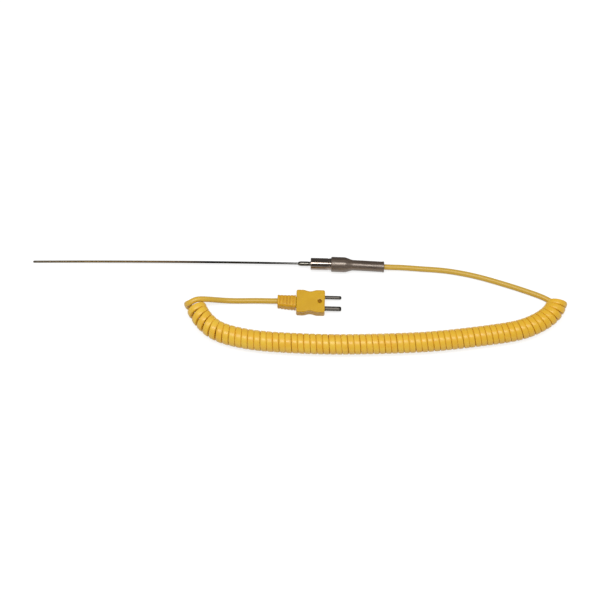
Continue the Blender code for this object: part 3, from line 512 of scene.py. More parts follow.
def speckled(name, light, dark, roughness, metallic=0.0, size=0.0005, depth=0.000004):
    """A plain finish for small and hidden pieces: speckled colour, uneven gloss, fine bump."""
    skin = Finish(name, light, roughness, metallic)
    skin.colour(skin.blend(skin.ranged(skin.grain(size)), light, dark))
    skin.rough(skin.ranged(skin.grain(size * 3), roughness - 0.06, roughness + 0.08))
    skin.relief(skin.grain(size / 2), depth)
    return skin


# The finish of each of the record's slots
FINISHES = {
    "sheath_metal": needle_finish(),
    "barrel_metal": turned_steel_finish("turned_steel", srgb(156, 143, 133), srgb(140, 127, 117)),
    "dark_sleeve": sleeve_finish(),
    "yellow_jacket": jacket_finish(),
    "yellow_boot": moulded("boot_rubber", srgb(217, 166, 24), srgb(209, 156, 18), 0.44),
    "plug_body": moulded("plug_plastic", srgb(210, 163, 10), srgb(205, 157, 4), 0.42),
    "pin_metal": blade_finish(),
    # Painted shade: this orange-brown stands in for the deep screw recess in shade, tinted by light
    # bounced off the yellow plastic
    "screw_metal": speckled("screw_recess_shade", srgb(176, 122, 36), srgb(140, 92, 22), 0.40, 1.0),
    "oxide_powder": speckled("oxide", srgb(226, 222, 210), srgb(206, 202, 190), 0.85, 0.0, 0.0001),
    "element_wire": speckled("element_alloy", srgb(176, 172, 164), srgb(150, 144, 134), 0.35, 1.0),
    "resin": speckled("resin", srgb(40, 38, 38), srgb(28, 27, 27), 0.45, 0.0, 0.0008),
    "tinned_copper": speckled("tinned", srgb(206, 196, 180), srgb(184, 168, 140), 0.30, 1.0),
    "yellow_core": moulded("core_yellow", srgb(226, 182, 40), srgb(216, 168, 32), 0.42),
    "red_core": moulded("core_red", srgb(168, 38, 30), srgb(148, 30, 24), 0.42),
}

# Painted shade: a darker copy of the barrel's turned steel, so that the ferrule's flanks reflect darker
SHADED_NOSE_FINISH = turned_steel_finish("nose_shaded_steel", srgb(126, 123, 115), srgb(112, 109, 101))


def dress(item, slot):
    """Gives a piece the finish of one of the record's slots."""
    item.data.materials.clear()
    item.data.materials.append(FINISHES[slot].material)
    return item


def placed(name, data):
    """An object with this mesh, lamp or camera, in the scene."""
    item = bpy.data.objects.new(name, data)
    bpy.context.scene.collection.objects.link(item)
    return item


def new_piece(name, points, faces):
    """A mesh object from points and faces."""
    mesh = bpy.data.meshes.new(name)
    mesh.from_pydata([tuple(point) for point in points], [], faces)
    mesh.update()
    return placed(name, mesh)


def adopt(item, slot, *nodes):
    """Finishes a mesh, ties it to the probe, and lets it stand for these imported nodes."""
    dress(item, slot)
    item.data.shade_smooth()
    item.data.set_sharp_from_angle(angle=math.radians(40))
    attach(item, "root")
    if nodes:
        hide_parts(*nodes)
    return item


def paint(item, name, values):
    """Stores a number at each point of a mesh, for its material."""
    attribute = item.data.attributes.new(name, "FLOAT", "POINT")
    attribute.data.foreach_set("value", np.array(values, np.float32))


def unit(vectors):
    return vectors / np.linalg.norm(vectors, axis=-1, keepdims=True)


def chord_lengths(points):
    """How far along a line of points each of them is."""
    spans = np.linalg.norm(np.diff(points, axis=0), axis=1)
    return np.concatenate([[0.0], np.cumsum(spans)])


def through(points, spacing):
    """Evenly spaced points on a natural cubic spline through these points, and their places."""
    route = np.array(points, float)
    knots = chord_lengths(route)
    spans = np.diff(knots)
    count = len(route)
    system = np.eye(count)
    right = np.zeros_like(route)
    slopes = np.diff(route, axis=0) / spans[:, None]
    for i in range(1, count - 1):
        system[i, i - 1 : i + 2] = (spans[i - 1], 2 * (spans[i - 1] + spans[i]), spans[i])
        right[i] = 6 * (slopes[i] - slopes[i - 1])
    bend = np.linalg.solve(system, right)
    along = np.linspace(0.0, knots[-1], max(2, round(knots[-1] / spacing) + 1))
    i = np.clip(np.searchsorted(knots, along, side="right") - 1, 0, count - 2)
    width = spans[i][:, None]
    after = (along - knots[i])[:, None]
    before = width - after
    found = (bend[i] * before**3 + bend[i + 1] * after**3) / (6 * width)
    found += (route[i] / width - bend[i] * width / 6) * before
    found += (route[i + 1] / width - bend[i + 1] * width / 6) * after
    return found, along


def probe_axis(x):
    """The probe's bowed centre line at x."""
    bow = max(0.0, (FERRULE_X - x) / NEEDLE_LENGTH) ** NEEDLE_BOW_POWER
    sway = max(0.0, (x - RELIEF_X) / RELIEF_LENGTH)
    droop = max(0.0, (x - DROOP_X) / (EXIT_X - DROOP_X)) ** DROOP_POWER
    y = -NEEDLE_SWAY * bow - RELIEF_SWAY * sway
    z = AXIS_Z - NEEDLE_DROP * bow - RELIEF_DROP * droop
    return np.array((x, y, z))


def frames_along(points):
    """Tangents and two steady cross directions along a path."""
    tangents = unit(np.gradient(points, axis=0))
    across = [unit(np.cross(tangents[0], (0.0, 0.0, 1.0)))]
    for tangent in tangents[1:]:
        carried = across[-1] - tangent * np.dot(across[-1], tangent)
        across.append(unit(carried))
    across = np.array(across)
    return tangents, across, np.cross(tangents, across)


def ring_faces(rings, sides, closed_ends=True):
    """Faces of a tube whose vertices are rings, with one vertex more at each end if closed."""
    faces = []
    for ring in range(rings - 1):
        for side in range(sides):
            after = (side + 1) % sides
            low = ring * sides
            faces.append((low + side, low + after, low + sides + after, low + sides + side))
    if closed_ends:
        start = rings * sides
        last = (rings - 1) * sides
        for side in range(sides):
            after = (side + 1) % sides
            faces.append((start, after, side))
            faces.append((start + 1, last + side, last + after))
    return faces


def lathe(name, profile, sides, wobble=None):
    """A piece turned around the probe's bowed axis. profile is a list of (x, radius)."""
    points = []
    for x, radius in profile:
        centre = probe_axis(x)
        for side in range(sides):
            angle = 2 * math.pi * side / sides
            reach = radius + (wobble(x, angle) if wobble else 0.0)
            points.append(centre + reach * np.array((0.0, math.cos(angle), math.sin(angle))))
    points.append(probe_axis(profile[0][0]))
    points.append(probe_axis(profile[-1][0]))
    return new_piece(name, points, ring_faces(len(profile), sides))


def arc(x, radius, size, start, end, steps=6):
    """Points on a rounded edge around (x, radius), between two angles in degrees from +X."""
    found = []
    for index in range(steps + 1):
        angle = math.radians(start + (end - start) * index / steps)
        found.append((x + size * math.cos(angle), radius + size * math.sin(angle)))
    return found


def ease(share):
    share = min(1.0, max(0.0, share))
    return share * share * (3 - 2 * share)


def spaced(start, end, count):
    """Evenly spaced places after start, the last of them at end."""
    return [start + (end - start) * index / count for index in range(1, count + 1)]


def make_needle():
    """The closed sheath, with a round tip, from its tip to its end inside the ferrule."""
    start = TIP_X + SHEATH_RADIUS
    profile = arc(start, 0.0, SHEATH_RADIUS, 176, 90, 8)
    profile += [(x, SHEATH_RADIUS) for x in spaced(start, SHEATH_END_X, NEEDLE_RINGS)]
    adopt(lathe("needle", profile, 24), "sheath_metal", "sheath")


def make_nose():
    """The bullet-shaped ferrule that holds the needle in the barrel."""
    bore = SHEATH_RADIUS + FERRULE_FIT
    rise = FERRULE_RADIUS - FERRULE_NOSE_RADIUS
    drop = FERRULE_RADIUS - FERRULE_NECK_RADIUS
    edge = FERRULE_NOSE_EDGE
    profile = [(FERRULE_X + FERRULE_MOUTH_DEPTH, bore), (FERRULE_X + FERRULE_FIT, bore)]
    profile += arc(FERRULE_X + edge, FERRULE_NOSE_RADIUS - edge, edge, 180, 90, 4)
    for share in spaced(0.0, 1.0, FERRULE_NOSE_STEPS):
        swell = rise * math.sin(share * math.pi / 2)
        profile.append((FERRULE_X + FERRULE_NOSE_LENGTH * share, FERRULE_NOSE_RADIUS + swell))
    for share in (0.0, 0.25, 0.5, 0.75, 1.0):
        x = FERRULE_NECK_X - FERRULE_NECK_TAPER * (1 - share)
        profile.append((x, FERRULE_RADIUS - drop * ease(share)))
    collar = FERRULE_NECK_X + FERRULE_NECK_LENGTH
    profile.append((collar, FERRULE_NECK_RADIUS))
    profile.append((collar + FERRULE_COLLAR_EDGE * 0.4, FERRULE_RADIUS - FERRULE_COLLAR_EDGE / 2))
    profile.append((collar + FERRULE_COLLAR_EDGE, FERRULE_RADIUS))
    profile.append((BARREL_X + BARREL_OVERLAP, FERRULE_RADIUS))
    nose = adopt(lathe("nose", profile, 64), "barrel_metal", "nose_ferrule")
    nose.data.materials[0] = SHADED_NOSE_FINISH.material


def make_barrel():
    """The turned barrel, with rounded edges and one groove in front of the sleeve."""
    groove = RELIEF_X - GROOVE_SETBACK
    start = BARREL_X + BARREL_EDGE
    end = groove - GROOVE_WIDTH / 2
    mouth = (BARREL_X + BARREL_OVERLAP, FERRULE_RADIUS - BARREL_OVERLAP)
    profile = [mouth, (BARREL_X, FERRULE_RADIUS + BARREL_OVERLAP / 2)]
    profile += arc(start, BARREL_RADIUS - BARREL_EDGE, BARREL_EDGE, 180, 90)
    profile += [(x, BARREL_RADIUS) for x in spaced(start, end, BARREL_RINGS)[:-1]]
    for index in range(GROOVE_STEPS + 1):
        share = index / GROOVE_STEPS
        dip = math.sin(math.pi * share) ** GROOVE_SQUARENESS
        profile.append((groove + GROOVE_WIDTH * (share - 0.5), BARREL_RADIUS - GROOVE_DEPTH * dip))
    profile.append((BARREL_END_X - BARREL_REAR_EDGE, BARREL_RADIUS))
    profile.append((BARREL_END_X, BARREL_RADIUS - BARREL_REAR_EDGE))
    adopt(lathe("barrel_shell", profile, 96), "barrel_metal", "barrel")


def sleeve_radius(along):
    """The shrink sleeve's outer radius, from its front edge."""
    cone = (along - RELIEF_BULGE_LENGTH) / RELIEF_CONE_LENGTH
    radius = RELIEF_RADIUS + (RELIEF_TAIL_RADIUS - RELIEF_RADIUS) * ease(cone)
    lip = RELIEF_LENGTH - RELIEF_LIP_LENGTH
    return radius + (RELIEF_LIP_RADIUS - RELIEF_TAIL_RADIUS) * ease((along - lip) / RELIEF_EDGE)


def make_sleeve():
    """The shrink sleeve: bulge over the barrel, cone and drooping tail with a thicker lip."""
    edge = RELIEF_END_EDGE
    profile = [(RELIEF_X + RELIEF_FRONT_MOUTH, BARREL_RADIUS + 0.00001)]
    profile += arc(RELIEF_X + RELIEF_FRONT, RELIEF_RADIUS - RELIEF_FRONT, RELIEF_FRONT, 180, 90, 8)
    end = RELIEF_LENGTH - RELIEF_EDGE / 2
    for along in spaced(RELIEF_FRONT, end, RELIEF_RINGS):
        profile.append((RELIEF_X + along, sleeve_radius(along)))
    profile += arc(EXIT_X - edge, RELIEF_LIP_RADIUS - edge, edge, 90, 0, 4)[1:]
    profile.append((EXIT_X, CORD_RADIUS + edge))
    profile.append((EXIT_X - RELIEF_BORE_DEPTH, CORD_RADIUS + edge / 2))

    def wobble(x, angle):
        """Slight dents where the sleeve shrank unevenly, fading out at its two ends."""
        fade = ease((x - RELIEF_X) / DENT_FADE) * ease((EXIT_X - x) / DENT_FADE)
        around = (DENT_TURN_RATE * math.cos(angle), DENT_TURN_RATE * math.sin(angle))
        return DENT_DEPTH * fade * (noise.noise(Vector((x * DENT_RATE, *around))) - DENT_LEVEL)

    adopt(lathe("sleeve", profile, 64, wobble), "dark_sleeve", "strain_relief")


def along_coil(table, share):
    """A value from a short table of (share of the coil's length, value)."""
    places, values = zip(*table)
    return np.interp(share, places, values)


def coil_points():
    """The curly cord's centre line, from the top of its left end to the underside of its right.

    It comes with half the distance from each point to the turns beside it, and with the
    direction from the coil's axis to each point.
    """
    height = COIL_RADIUS + TABLE_GAP
    axis, _ = through([(EXIT_X + x, y, height) for x, y in COIL_ROUTE], AXIS_STEP)
    before = axis[0] - COIL_OVERRUN * unit(axis[1] - axis[0])
    after = axis[-1] + COIL_OVERRUN * unit(axis[-1] - axis[-2])
    axis = np.vstack([before, axis, after])
    along = chord_lengths(axis) - COIL_OVERRUN
    length = along[-1] - COIL_OVERRUN
    tangents = unit(np.gradient(axis, axis=0))
    pitch = along_coil(COIL_PITCHES, along / length)
    turns = np.concatenate([[0.0], np.cumsum(np.diff(along) * 2 / (pitch[1:] + pitch[:-1]))])
    first, last = np.interp((COIL_LEFT_START, length), along, turns)
    total = round(last - first - 0.5) + 0.5
    turns = (turns - first) * total / (last - first)
    phase = np.linspace(0.0, total, round(total * POINTS_PER_TURN) + 1)
    angle = 2 * math.pi * phase
    place = np.interp(phase, turns, along)
    fade = np.clip(COIL_FADE * np.minimum(phase, total - phase), 0.0, 1.0)
    fade = fade * fade * (3 - 2 * fade)
    jitter = np.array([noise.noise(Vector((JITTER_RATE * turn, 0.0, 0.0))) for turn in phase])
    place += along_coil(COIL_LEANS, place / length) * HELIX_RADIUS * np.sin(angle) * fade
    place += PITCH_JITTER * jitter * fade
    centre = np.stack([np.interp(place, along, axis[:, k]) for k in range(3)], axis=1)
    forward = unit(np.stack([np.interp(place, along, tangents[:, k]) for k in range(3)], axis=1))
    up = np.array((0.0, 0.0, 1.0))
    side = np.cross(forward, up)
    outward = np.cos(angle)[:, None] * up + np.sin(angle)[:, None] * side
    points = centre + HELIX_RADIUS * outward
    gaps = np.linalg.norm(points[POINTS_PER_TURN:] - points[:-POINTS_PER_TURN], axis=1) / 2
    ahead = np.concatenate([gaps, np.full(POINTS_PER_TURN, CORD_RADIUS)])
    behind = np.concatenate([np.full(POINTS_PER_TURN, CORD_RADIUS), gaps])
    return points, outward, np.clip((ahead + behind) / 2, *FLAT_LIMITS), total


def plug_point(x):
    """A point on the plug's middle line, which bends with the boot behind the plug."""
    return np.array(PLUG_PLACE) + np.array((x, boot_sway(x), MID_Z))


def boot_sway(x):
    """How far the boot has bent sideways at x of the plug's frame."""
    return BOOT_SWAY * max(0.0, -x / BOOT_LENGTH) ** 2


def cord_path():
    """The whole cord, from inside the strain relief to inside the plug.

    It comes with the direction away from the coil's axis, half its thickness across the turns,
    how far along the coil each point is from the coil's nearer end, and the number of turns.
    """
    helix, away, flats, turns = coil_points()
    lead = [probe_axis(x) for x in np.linspace(JACKET_X, EXIT_X, 4)]
    lead += [(EXIT_X + x, y, z) for x, y, z in LEAD_ROUTE]
    rest = [(EXIT_X + x, y, z) for x, y, z in reversed(PLUG_LEAD_ROUTE)]
    rest += [plug_point(-BOOT_LENGTH * share) for share in (1.0, 0.75, 0.5, 0.25, 0.0)]
    rest += [plug_point(JACKET_END_X)]
    route = np.vstack([lead, helix[::-1], rest])
    path, along = through(route, CORD_STEP)
    path[:, 2] = np.maximum(path[:, 2], CORD_RADIUS + TABLE_GAP)
    knots = chord_lengths(route)
    first = len(lead)
    last = first + len(helix) - 1
    halves = np.full(len(route), CORD_RADIUS)
    halves[first : last + 1] = flats[::-1]
    coil_knots = knots[first : last + 1]
    outward = np.stack([np.interp(along, coil_knots, away[::-1, k]) for k in range(3)], axis=1)
    inside = np.minimum(along - knots[first], knots[last] - along)
    return path, outward, np.interp(along, knots, halves), inside, turns


def make_cord():
    """One tube along the whole path; its turns are squared and a little flat towards each other."""
    path, away, halves, inside, turns = cord_path()
    coiled = np.clip(inside / (math.pi * HELIX_RADIUS), 0.0, 1.0)
    warmed = np.clip((inside + WARM_START) / WARM_LENGTH, 0.0, 1.0)
    tangents, across, upward = frames_along(path)
    bend = np.linalg.norm(np.gradient(tangents, CORD_STEP, axis=0), axis=1)
    binormal = unit(np.cross(tangents, away))
    points = []
    turn_shade_points = []
    for ring, centre in enumerate(path):
        outward = np.cross(binormal[ring], tangents[ring])
        half = CORD_RADIUS + (halves[ring] - CORD_RADIUS) * coiled[ring]
        for side in range(CORD_SIDES):
            angle = 2 * math.pi * side / CORD_SIDES
            normal = math.cos(angle) * across[ring] + math.sin(angle) * upward[ring]
            beside = abs(np.dot(normal, binormal[ring]))
            out = math.sqrt(max(0.0, 1.0 - beside * beside))
            power = 2.0 + TURN_SQUARENESS * coiled[ring] * ease(0.5 + 2 * np.dot(normal, outward))
            reach = ((beside / half) ** power + (out / CORD_RADIUS) ** power) ** (-1 / power)
            points.append(centre + reach * normal)
            # Painted shade: how far each point faces the next turn, which deepens the jacket's colour
            # there
            turn_shade_points.append(coiled[ring] * beside)
    points += [path[0], path[-1]]
    turn_shade_points += [0.0, 0.0]
    cord = new_piece("curly_lead", points, ring_faces(len(path), CORD_SIDES))
    # The "groove" attribute carries the painted shade between the turns
    paint(cord, "groove", turn_shade_points)
    paint(cord, "coiled", np.append(np.repeat(warmed, CORD_SIDES), (0.0, 0.0)))
    adopt(cord, "yellow_jacket", "lead_to_coil", "curly_cord", "lead_to_plug")
    length = float(chord_lengths(path)[-1])
    print(f"cord: {length:.3f} m, {turns} turns, tightest bend {1000 / bend.max():.2f} mm")
    return cord, path, length


def quarter_turn(steps):
    """Angles from 0 to 90 degrees, in radians."""
    return [math.radians(90 * index / steps) for index in range(steps + 1)]


def plug_half_width(x):
    """Half the plug's width at x, drawn in at the finger waist."""
    nearness = max(0.0, 1.0 - abs(x - WAIST_X) / WAIST_REACH)
    return PLUG_WIDTH / 2 - WAIST_DEPTH * (1 - math.cos(math.pi * nearness)) / 2


def plug_outline():
    """The plug seen from above: round corners, straight ends and a waist on each side."""
    half = PLUG_WIDTH / 2
    corner = PLUG_CORNER
    end_places = [(half - corner) * index / END_STEPS for index in range(END_STEPS)]
    side = [(0.0, y) for y in end_places]
    for turn in quarter_turn(CORNER_STEPS):
        side.append((corner * (1 - math.cos(turn)), half - corner + corner * math.sin(turn)))
    for x in spaced(corner, PLUG_LENGTH - corner, SIDE_STEPS)[:-1]:
        side.append((x, plug_half_width(x)))
    for turn in quarter_turn(CORNER_STEPS):
        x = PLUG_LENGTH - corner + corner * math.sin(turn)
        side.append((x, half - corner + corner * math.cos(turn)))
    side += [(PLUG_LENGTH, y) for y in reversed(end_places[1:])]
    side.append((PLUG_LENGTH, 0.0))
    return np.array(side + [(x, -y) for x, y in reversed(side[1:-1])])


def inset(outline, distance):
    """A closed outline moved inwards; it runs clockwise seen from above."""
    ahead = np.roll(outline, -1, axis=0) - np.roll(outline, 1, axis=0)
    normals = unit(np.stack([ahead[:, 1], -ahead[:, 0]], axis=1))
    return outline + normals * distance


def circle(x, y, radius, count=48):
    turns = [2 * math.pi * index / count for index in range(count)]
    return np.array([(x + radius * math.cos(turn), y + radius * math.sin(turn)) for turn in turns])


def add_loops(shape, loops):
    """Adds closed loops, each a flat outline and its height, joined in turn. Returns the edges
    of the first and of the last loop."""
    made = [[shape.verts.new((x, y, z)) for x, y in outline] for outline, z in loops]
    for low, high in zip(made, made[1:]):
        for index in range(len(low)):
            after = (index + 1) % len(low)
            shape.faces.new((low[index], low[after], high[after], high[index]))
    ends = []
    for verts in (made[0], made[-1]):
        edges = []
        for index, vert in enumerate(verts):
            pair = (vert, verts[(index + 1) % len(verts)])
            edges.append(shape.edges.get(pair) or shape.edges.new(pair))
        ends.append(edges)
    return ends


def fill_between(shape, *edges):
    """Closes the flat area between these loops."""
    together = [edge for loop in edges for edge in loop]
    bmesh.ops.triangle_fill(shape, use_beauty=True, use_dissolve=False, edges=together)


def shell_loops(outline, parting_z, outer_z, edge):
    """The outside of one plug half, from its parting line to its rounded outer edge."""
    way = math.copysign(1.0, outer_z - parting_z)
    loops = [(inset(outline, PARTING_CHAMFER), parting_z)]
    loops.append((outline, parting_z + way * PARTING_CHAMFER))
    loops.append((outline, outer_z - way * (edge + RIM_MARGIN)))
    for turn in quarter_turn(CORNER_STEPS):
        height = outer_z - way * edge * (1 - math.sin(turn))
        loops.append((inset(outline, edge * (1 - math.cos(turn))), height))
    loops.append((inset(outline, edge + RIM_MARGIN), outer_z))
    return loops


def finished_mesh(shape, name):
    """An object from a closed bmesh, with its faces pointing out."""
    bmesh.ops.recalc_face_normals(shape, faces=shape.faces)
    mesh = bpy.data.meshes.new(name)
    shape.to_mesh(mesh)
    shape.free()
    return placed(name, mesh)


def cut_boxes(item, boxes):
    """Cuts boxes out of a mesh object; a box is two opposite corners."""
    cutters = []
    for first, second in boxes:
        shape = bmesh.new()
        bmesh.ops.create_cube(shape, size=1.0)
        for vert in shape.verts:
            for k in range(3):
                pick = min if vert.co[k] < 0 else max
                vert.co[k] = pick(first[k], second[k])
        cutters.append(finished_mesh(shape, "cutter"))
    for cutter in cutters:
        change = item.modifiers.new("cut", "BOOLEAN")
        change.operation = "DIFFERENCE"
        change.solver = "EXACT"
        change.object = cutter
    ready = item.evaluated_get(bpy.context.evaluated_depsgraph_get())
    mesh = bpy.data.meshes.new_from_object(ready)
    item.modifiers.clear()
    item.data = mesh
    for cutter in cutters:
        bpy.data.objects.remove(cutter)
    return item


def half_hollows(into):
    """The wire well, the boot's opening and the pin slots of one plug half.

    into is +1 for the base, whose hollows open upwards, and -1 for the cover.
    """
    inner = PLUG_WIDTH / 2 - WAIST_DEPTH - PLUG_WALL
    meeting = MID_Z + into * HOLLOW_OVERLAP
    outer = 0.0 if into > 0 else PLUG_THICKNESS
    floor = outer + into * PLUG_WALL
    opening = BOOT_NECK_WIDTH / 2 + SLOT_FIT
    boxes = [((PLUG_REAR_WALL, -inner, floor), (WELL_END_X, inner, meeting))]
    depth = MID_Z - into * (BOOT_NECK_HEIGHT / 2 + SLOT_FIT)
    mouth_end = PLUG_REAR_WALL + HOLLOW_REACH
    boxes.append(((-HOLLOW_REACH, -opening, depth), (mouth_end, opening, meeting)))
    bed = MID_Z - into * (PIN_THICKNESS / 2 + SLOT_FIT / 2)
    for side, width in ((1, PIN_WIDTHS["positive"]), (-1, PIN_WIDTHS["negative"])):
        middle = side * PIN_SPACING / 2
        reach = width / 2 + SLOT_FIT
        slot_start = PIN_REAR_X - HOLLOW_REACH
        slot_end = PLUG_LENGTH + HOLLOW_REACH
        boxes.append(((slot_start, middle - reach, bed), (slot_end, middle + reach, meeting)))
        if into < 0:
            beside_rib = (WELL_END_X - HOLLOW_REACH, side * RIB_WIDTH / 2, meeting)
            boxes.append((beside_rib, (POCKET_END_X, side * inner, floor)))
    return boxes


def place_on_plug(item):
    """Moves a mesh from the plug's own frame to where the plug lies."""
    for vert in item.data.vertices:
        vert.co += PLUG_PLACE
    return item


def add_mark(shape, x, y, cross):
    """A raised bar or cross, for the polarity marks on the cover."""
    long = MARK_SIZE / 2
    thin = MARK_WIDTH / 2
    corners = [(long, thin), (long, -thin)]
    if cross:
        corners += [(thin, -thin), (thin, -long), (-thin, -long), (-thin, -thin)]
    corners += [(-u, -v) for u, v in corners]
    outline = np.array([(x + u, y + v) for u, v in corners])
    top = PLUG_THICKNESS + MARK_HEIGHT
    loops = [(outline, PLUG_THICKNESS - MARK_ROOT), (outline, top - MARK_EDGE)]
    loops.append((inset(outline, MARK_EDGE / 3), top - MARK_EDGE / 3))
    loops.append((inset(outline, MARK_EDGE), top))
    first, last = add_loops(shape, loops)
    fill_between(shape, first)
    fill_between(shape, last)


def make_plug_cover():
    """The upper half: rounded rim, dished recess for the screw, and raised polarity marks."""
    outline = plug_outline()
    shape = bmesh.new()
    parting, top = add_loops(shape, shell_loops(outline, MID_Z + PARTING, PLUG_THICKNESS, COVER_EDGE))
    profile = [
        (DISH_RADIUS + 0.0002, 0.0),
        (DISH_RADIUS, 0.0),
        (DISH_RADIUS - 0.0002, 0.00002),
        (DISH_RADIUS - 0.0005, 0.00008),
        (COVER_RECESS_RADIUS + 0.00030, DISH_DEPTH - 0.00003),
        (COVER_RECESS_RADIUS + 0.00010, DISH_DEPTH),
        (COVER_RECESS_RADIUS + 0.00003, DISH_DEPTH + 0.00003),
        (COVER_RECESS_RADIUS, DISH_DEPTH + 0.0001),
        (COVER_RECESS_RADIUS, PLUG_THICKNESS - COVER_SEAT_Z),
        (COVER_SHANK_RADIUS, PLUG_THICKNESS - COVER_SEAT_Z),
        (COVER_SHANK_RADIUS, PLUG_THICKNESS - MID_Z - PARTING),
    ]
    rings = [(circle(COVER_SCREW_X, 0.0, radius), PLUG_THICKNESS - depth) for radius, depth in profile]
    dish, shank = add_loops(shape, rings)
    fill_between(shape, top, dish)
    fill_between(shape, parting, shank)
    item = cut_boxes(finished_mesh(shape, "cover_shell"), half_hollows(-1))
    marks = bmesh.new()
    marks.from_mesh(item.data)
    add_mark(marks, MARK_X, MARK_ASIDE, cross=True)
    add_mark(marks, MARK_X, -MARK_ASIDE, cross=False)
    marks.to_mesh(item.data)
    marks.free()
    return adopt(place_on_plug(item), "plug_body", "plug_cover")


def make_plug_base():
    """The lower half, which the pins are bedded in."""
    shape = bmesh.new()
    parting, bottom = add_loops(shape, shell_loops(plug_outline(), MID_Z - PARTING, 0.0, BASE_EDGE))
    holes = [(COVER_SCREW_X, 0.0, COVER_SHANK_RADIUS, COVER_SCREW_REACH)]
    for side in (1, -1):
        holes.append((TERMINAL_X, side * PIN_SPACING / 2, TERMINAL_HOLE_RADIUS, TERMINAL_HOLE_DEPTH))
    mouths = []
    for x, y, radius, depth in holes:
        ring = circle(x, y, radius, 32)
        mouth, end = add_loops(shape, [(ring, MID_Z - PARTING), (ring, MID_Z - depth)])
        mouths.append(mouth)
        fill_between(shape, end)
    fill_between(shape, parting, *mouths)
    fill_between(shape, bottom)
    item = cut_boxes(finished_mesh(shape, "base_shell"), half_hollows(1))
    return adopt(place_on_plug(item), "plug_body", "plug_base")


def bar_section(half_width, half_height, corner, flats=4, turns=7):
    """A rounded rectangle across the plug, as (y, z) points with z from its middle."""
    corner = min(corner, half_width, half_height)
    flat_y = half_width - corner
    flat_z = half_height - corner
    found = []
    corners = ((flat_y, flat_z), (-flat_y, flat_z), (-flat_y, -flat_z), (flat_y, -flat_z))
    for start, (y, z) in enumerate(corners):
        for index in range(turns):
            turn = math.radians(90 * (start + index / (turns - 1)))
            found.append((y + corner * math.cos(turn), z + corner * math.sin(turn)))
        ahead = ((-1, 0), (0, -1), (1, 0), (0, 1))[start]
        run = 2 * (flat_y if start % 2 == 0 else flat_z)
        last_y, last_z = found[-1]
        for index in range(1, flats):
            step = run * index / flats
            found.append((last_y + ahead[0] * step, last_z + ahead[1] * step))
    return found


def loft(name, sections, closed_ends=True):
    """A bar along the plug's X from sections, each its x and a list of (y, z) points."""
    points = []
    for x, outline in sections:
        points += [(x, y, MID_Z + z) for y, z in outline]
    count = len(sections[0][1])
    faces = ring_faces(len(sections), count, closed_ends)
    if closed_ends:
        points += [(sections[0][0], 0.0, MID_Z), (sections[-1][0], 0.0, MID_Z)]
    else:
        last = (len(sections) - 1) * count
        for side in range(count):
            after = (side + 1) % count
            faces.append((last + side, last + after, after, side))
    return new_piece(name, points, faces)


def drafted(outline):
    """A section of the boot made wider towards its underside."""
    return [(y - math.copysign(BOOT_DRAFT, y) * z / (BOOT_HEIGHT / 2), z) for y, z in outline]


def rib_height(x):
    """1 on a rib of the boot and 0 in a groove, at x of the plug's frame."""
    pitch = BOOT_LENGTH / (BOOT_RIBS - 1 + BOOT_RIB_SHARE)
    into = (x + BOOT_LENGTH) % pitch
    rib = pitch * BOOT_RIB_SHARE
    if into < pitch - (pitch - rib) / 2:
        return ease(0.5 + (rib - into) / BOOT_GROOVE_EASE)
    return ease(0.5 + (into - pitch) / BOOT_GROOVE_EASE)


def make_boot():
    """The boot: ribs above and below, plain sides, and a flanged neck held inside the plug."""
    half_height = BOOT_HEIGHT / 2

    def half_width(x):
        return (BOOT_FRONT_WIDTH + (BOOT_REAR_WIDTH - BOOT_FRONT_WIDTH) * -x / BOOT_LENGTH) / 2

    sections = []
    for turn in quarter_turn(BOOT_EDGE_STEPS):
        edge = BOOT_END_EDGE * (1 - math.sin(turn))
        x = -BOOT_LENGTH + BOOT_END_EDGE * (1 - math.cos(turn))
        sections.append((x, drafted(bar_section(half_width(x) - edge, half_height - edge, BOOT_CORNER))))
    start = -BOOT_LENGTH + BOOT_END_EDGE
    end = -BOOT_PLUG_GAP
    for x in spaced(start, end, BOOT_RINGS):
        rib = max(rib_height(x), ease(1 - (x - start) / BOOT_REAR_RIM))
        high = half_height - BOOT_GROOVE_DEPTH * (1 - rib)
        sections.append((x, drafted(bar_section(half_width(x), high, BOOT_CORNER))))
    neck_corner = BOOT_CORNER * 0.4
    neck = bar_section(BOOT_NECK_WIDTH / 2, BOOT_NECK_HEIGHT / 2, neck_corner)
    flange = bar_section(FLANGE_WIDTH / 2, BOOT_NECK_HEIGHT / 2, neck_corner)
    flange_end = FLANGE_X + FLANGE_LENGTH
    sections += [(end, neck), (FLANGE_X, neck), (FLANGE_X, flange), (flange_end, flange)]
    bore = []
    for y, z in sections[0][1]:
        reach = BOOT_BORE_RADIUS / math.hypot(y, z)
        bore.append((y * reach, z * reach))
    sections.append((flange_end, bore))
    sections += [(x, bore) for x in spaced(flange_end, -BOOT_LENGTH, BOOT_BORE_RINGS)]
    boot = loft("ribbed_boot", sections, closed_ends=False)
    for vert in boot.data.vertices:
        vert.co.y += boot_sway(vert.co.x)
    return adopt(place_on_plug(boot), "yellow_boot", "boot")


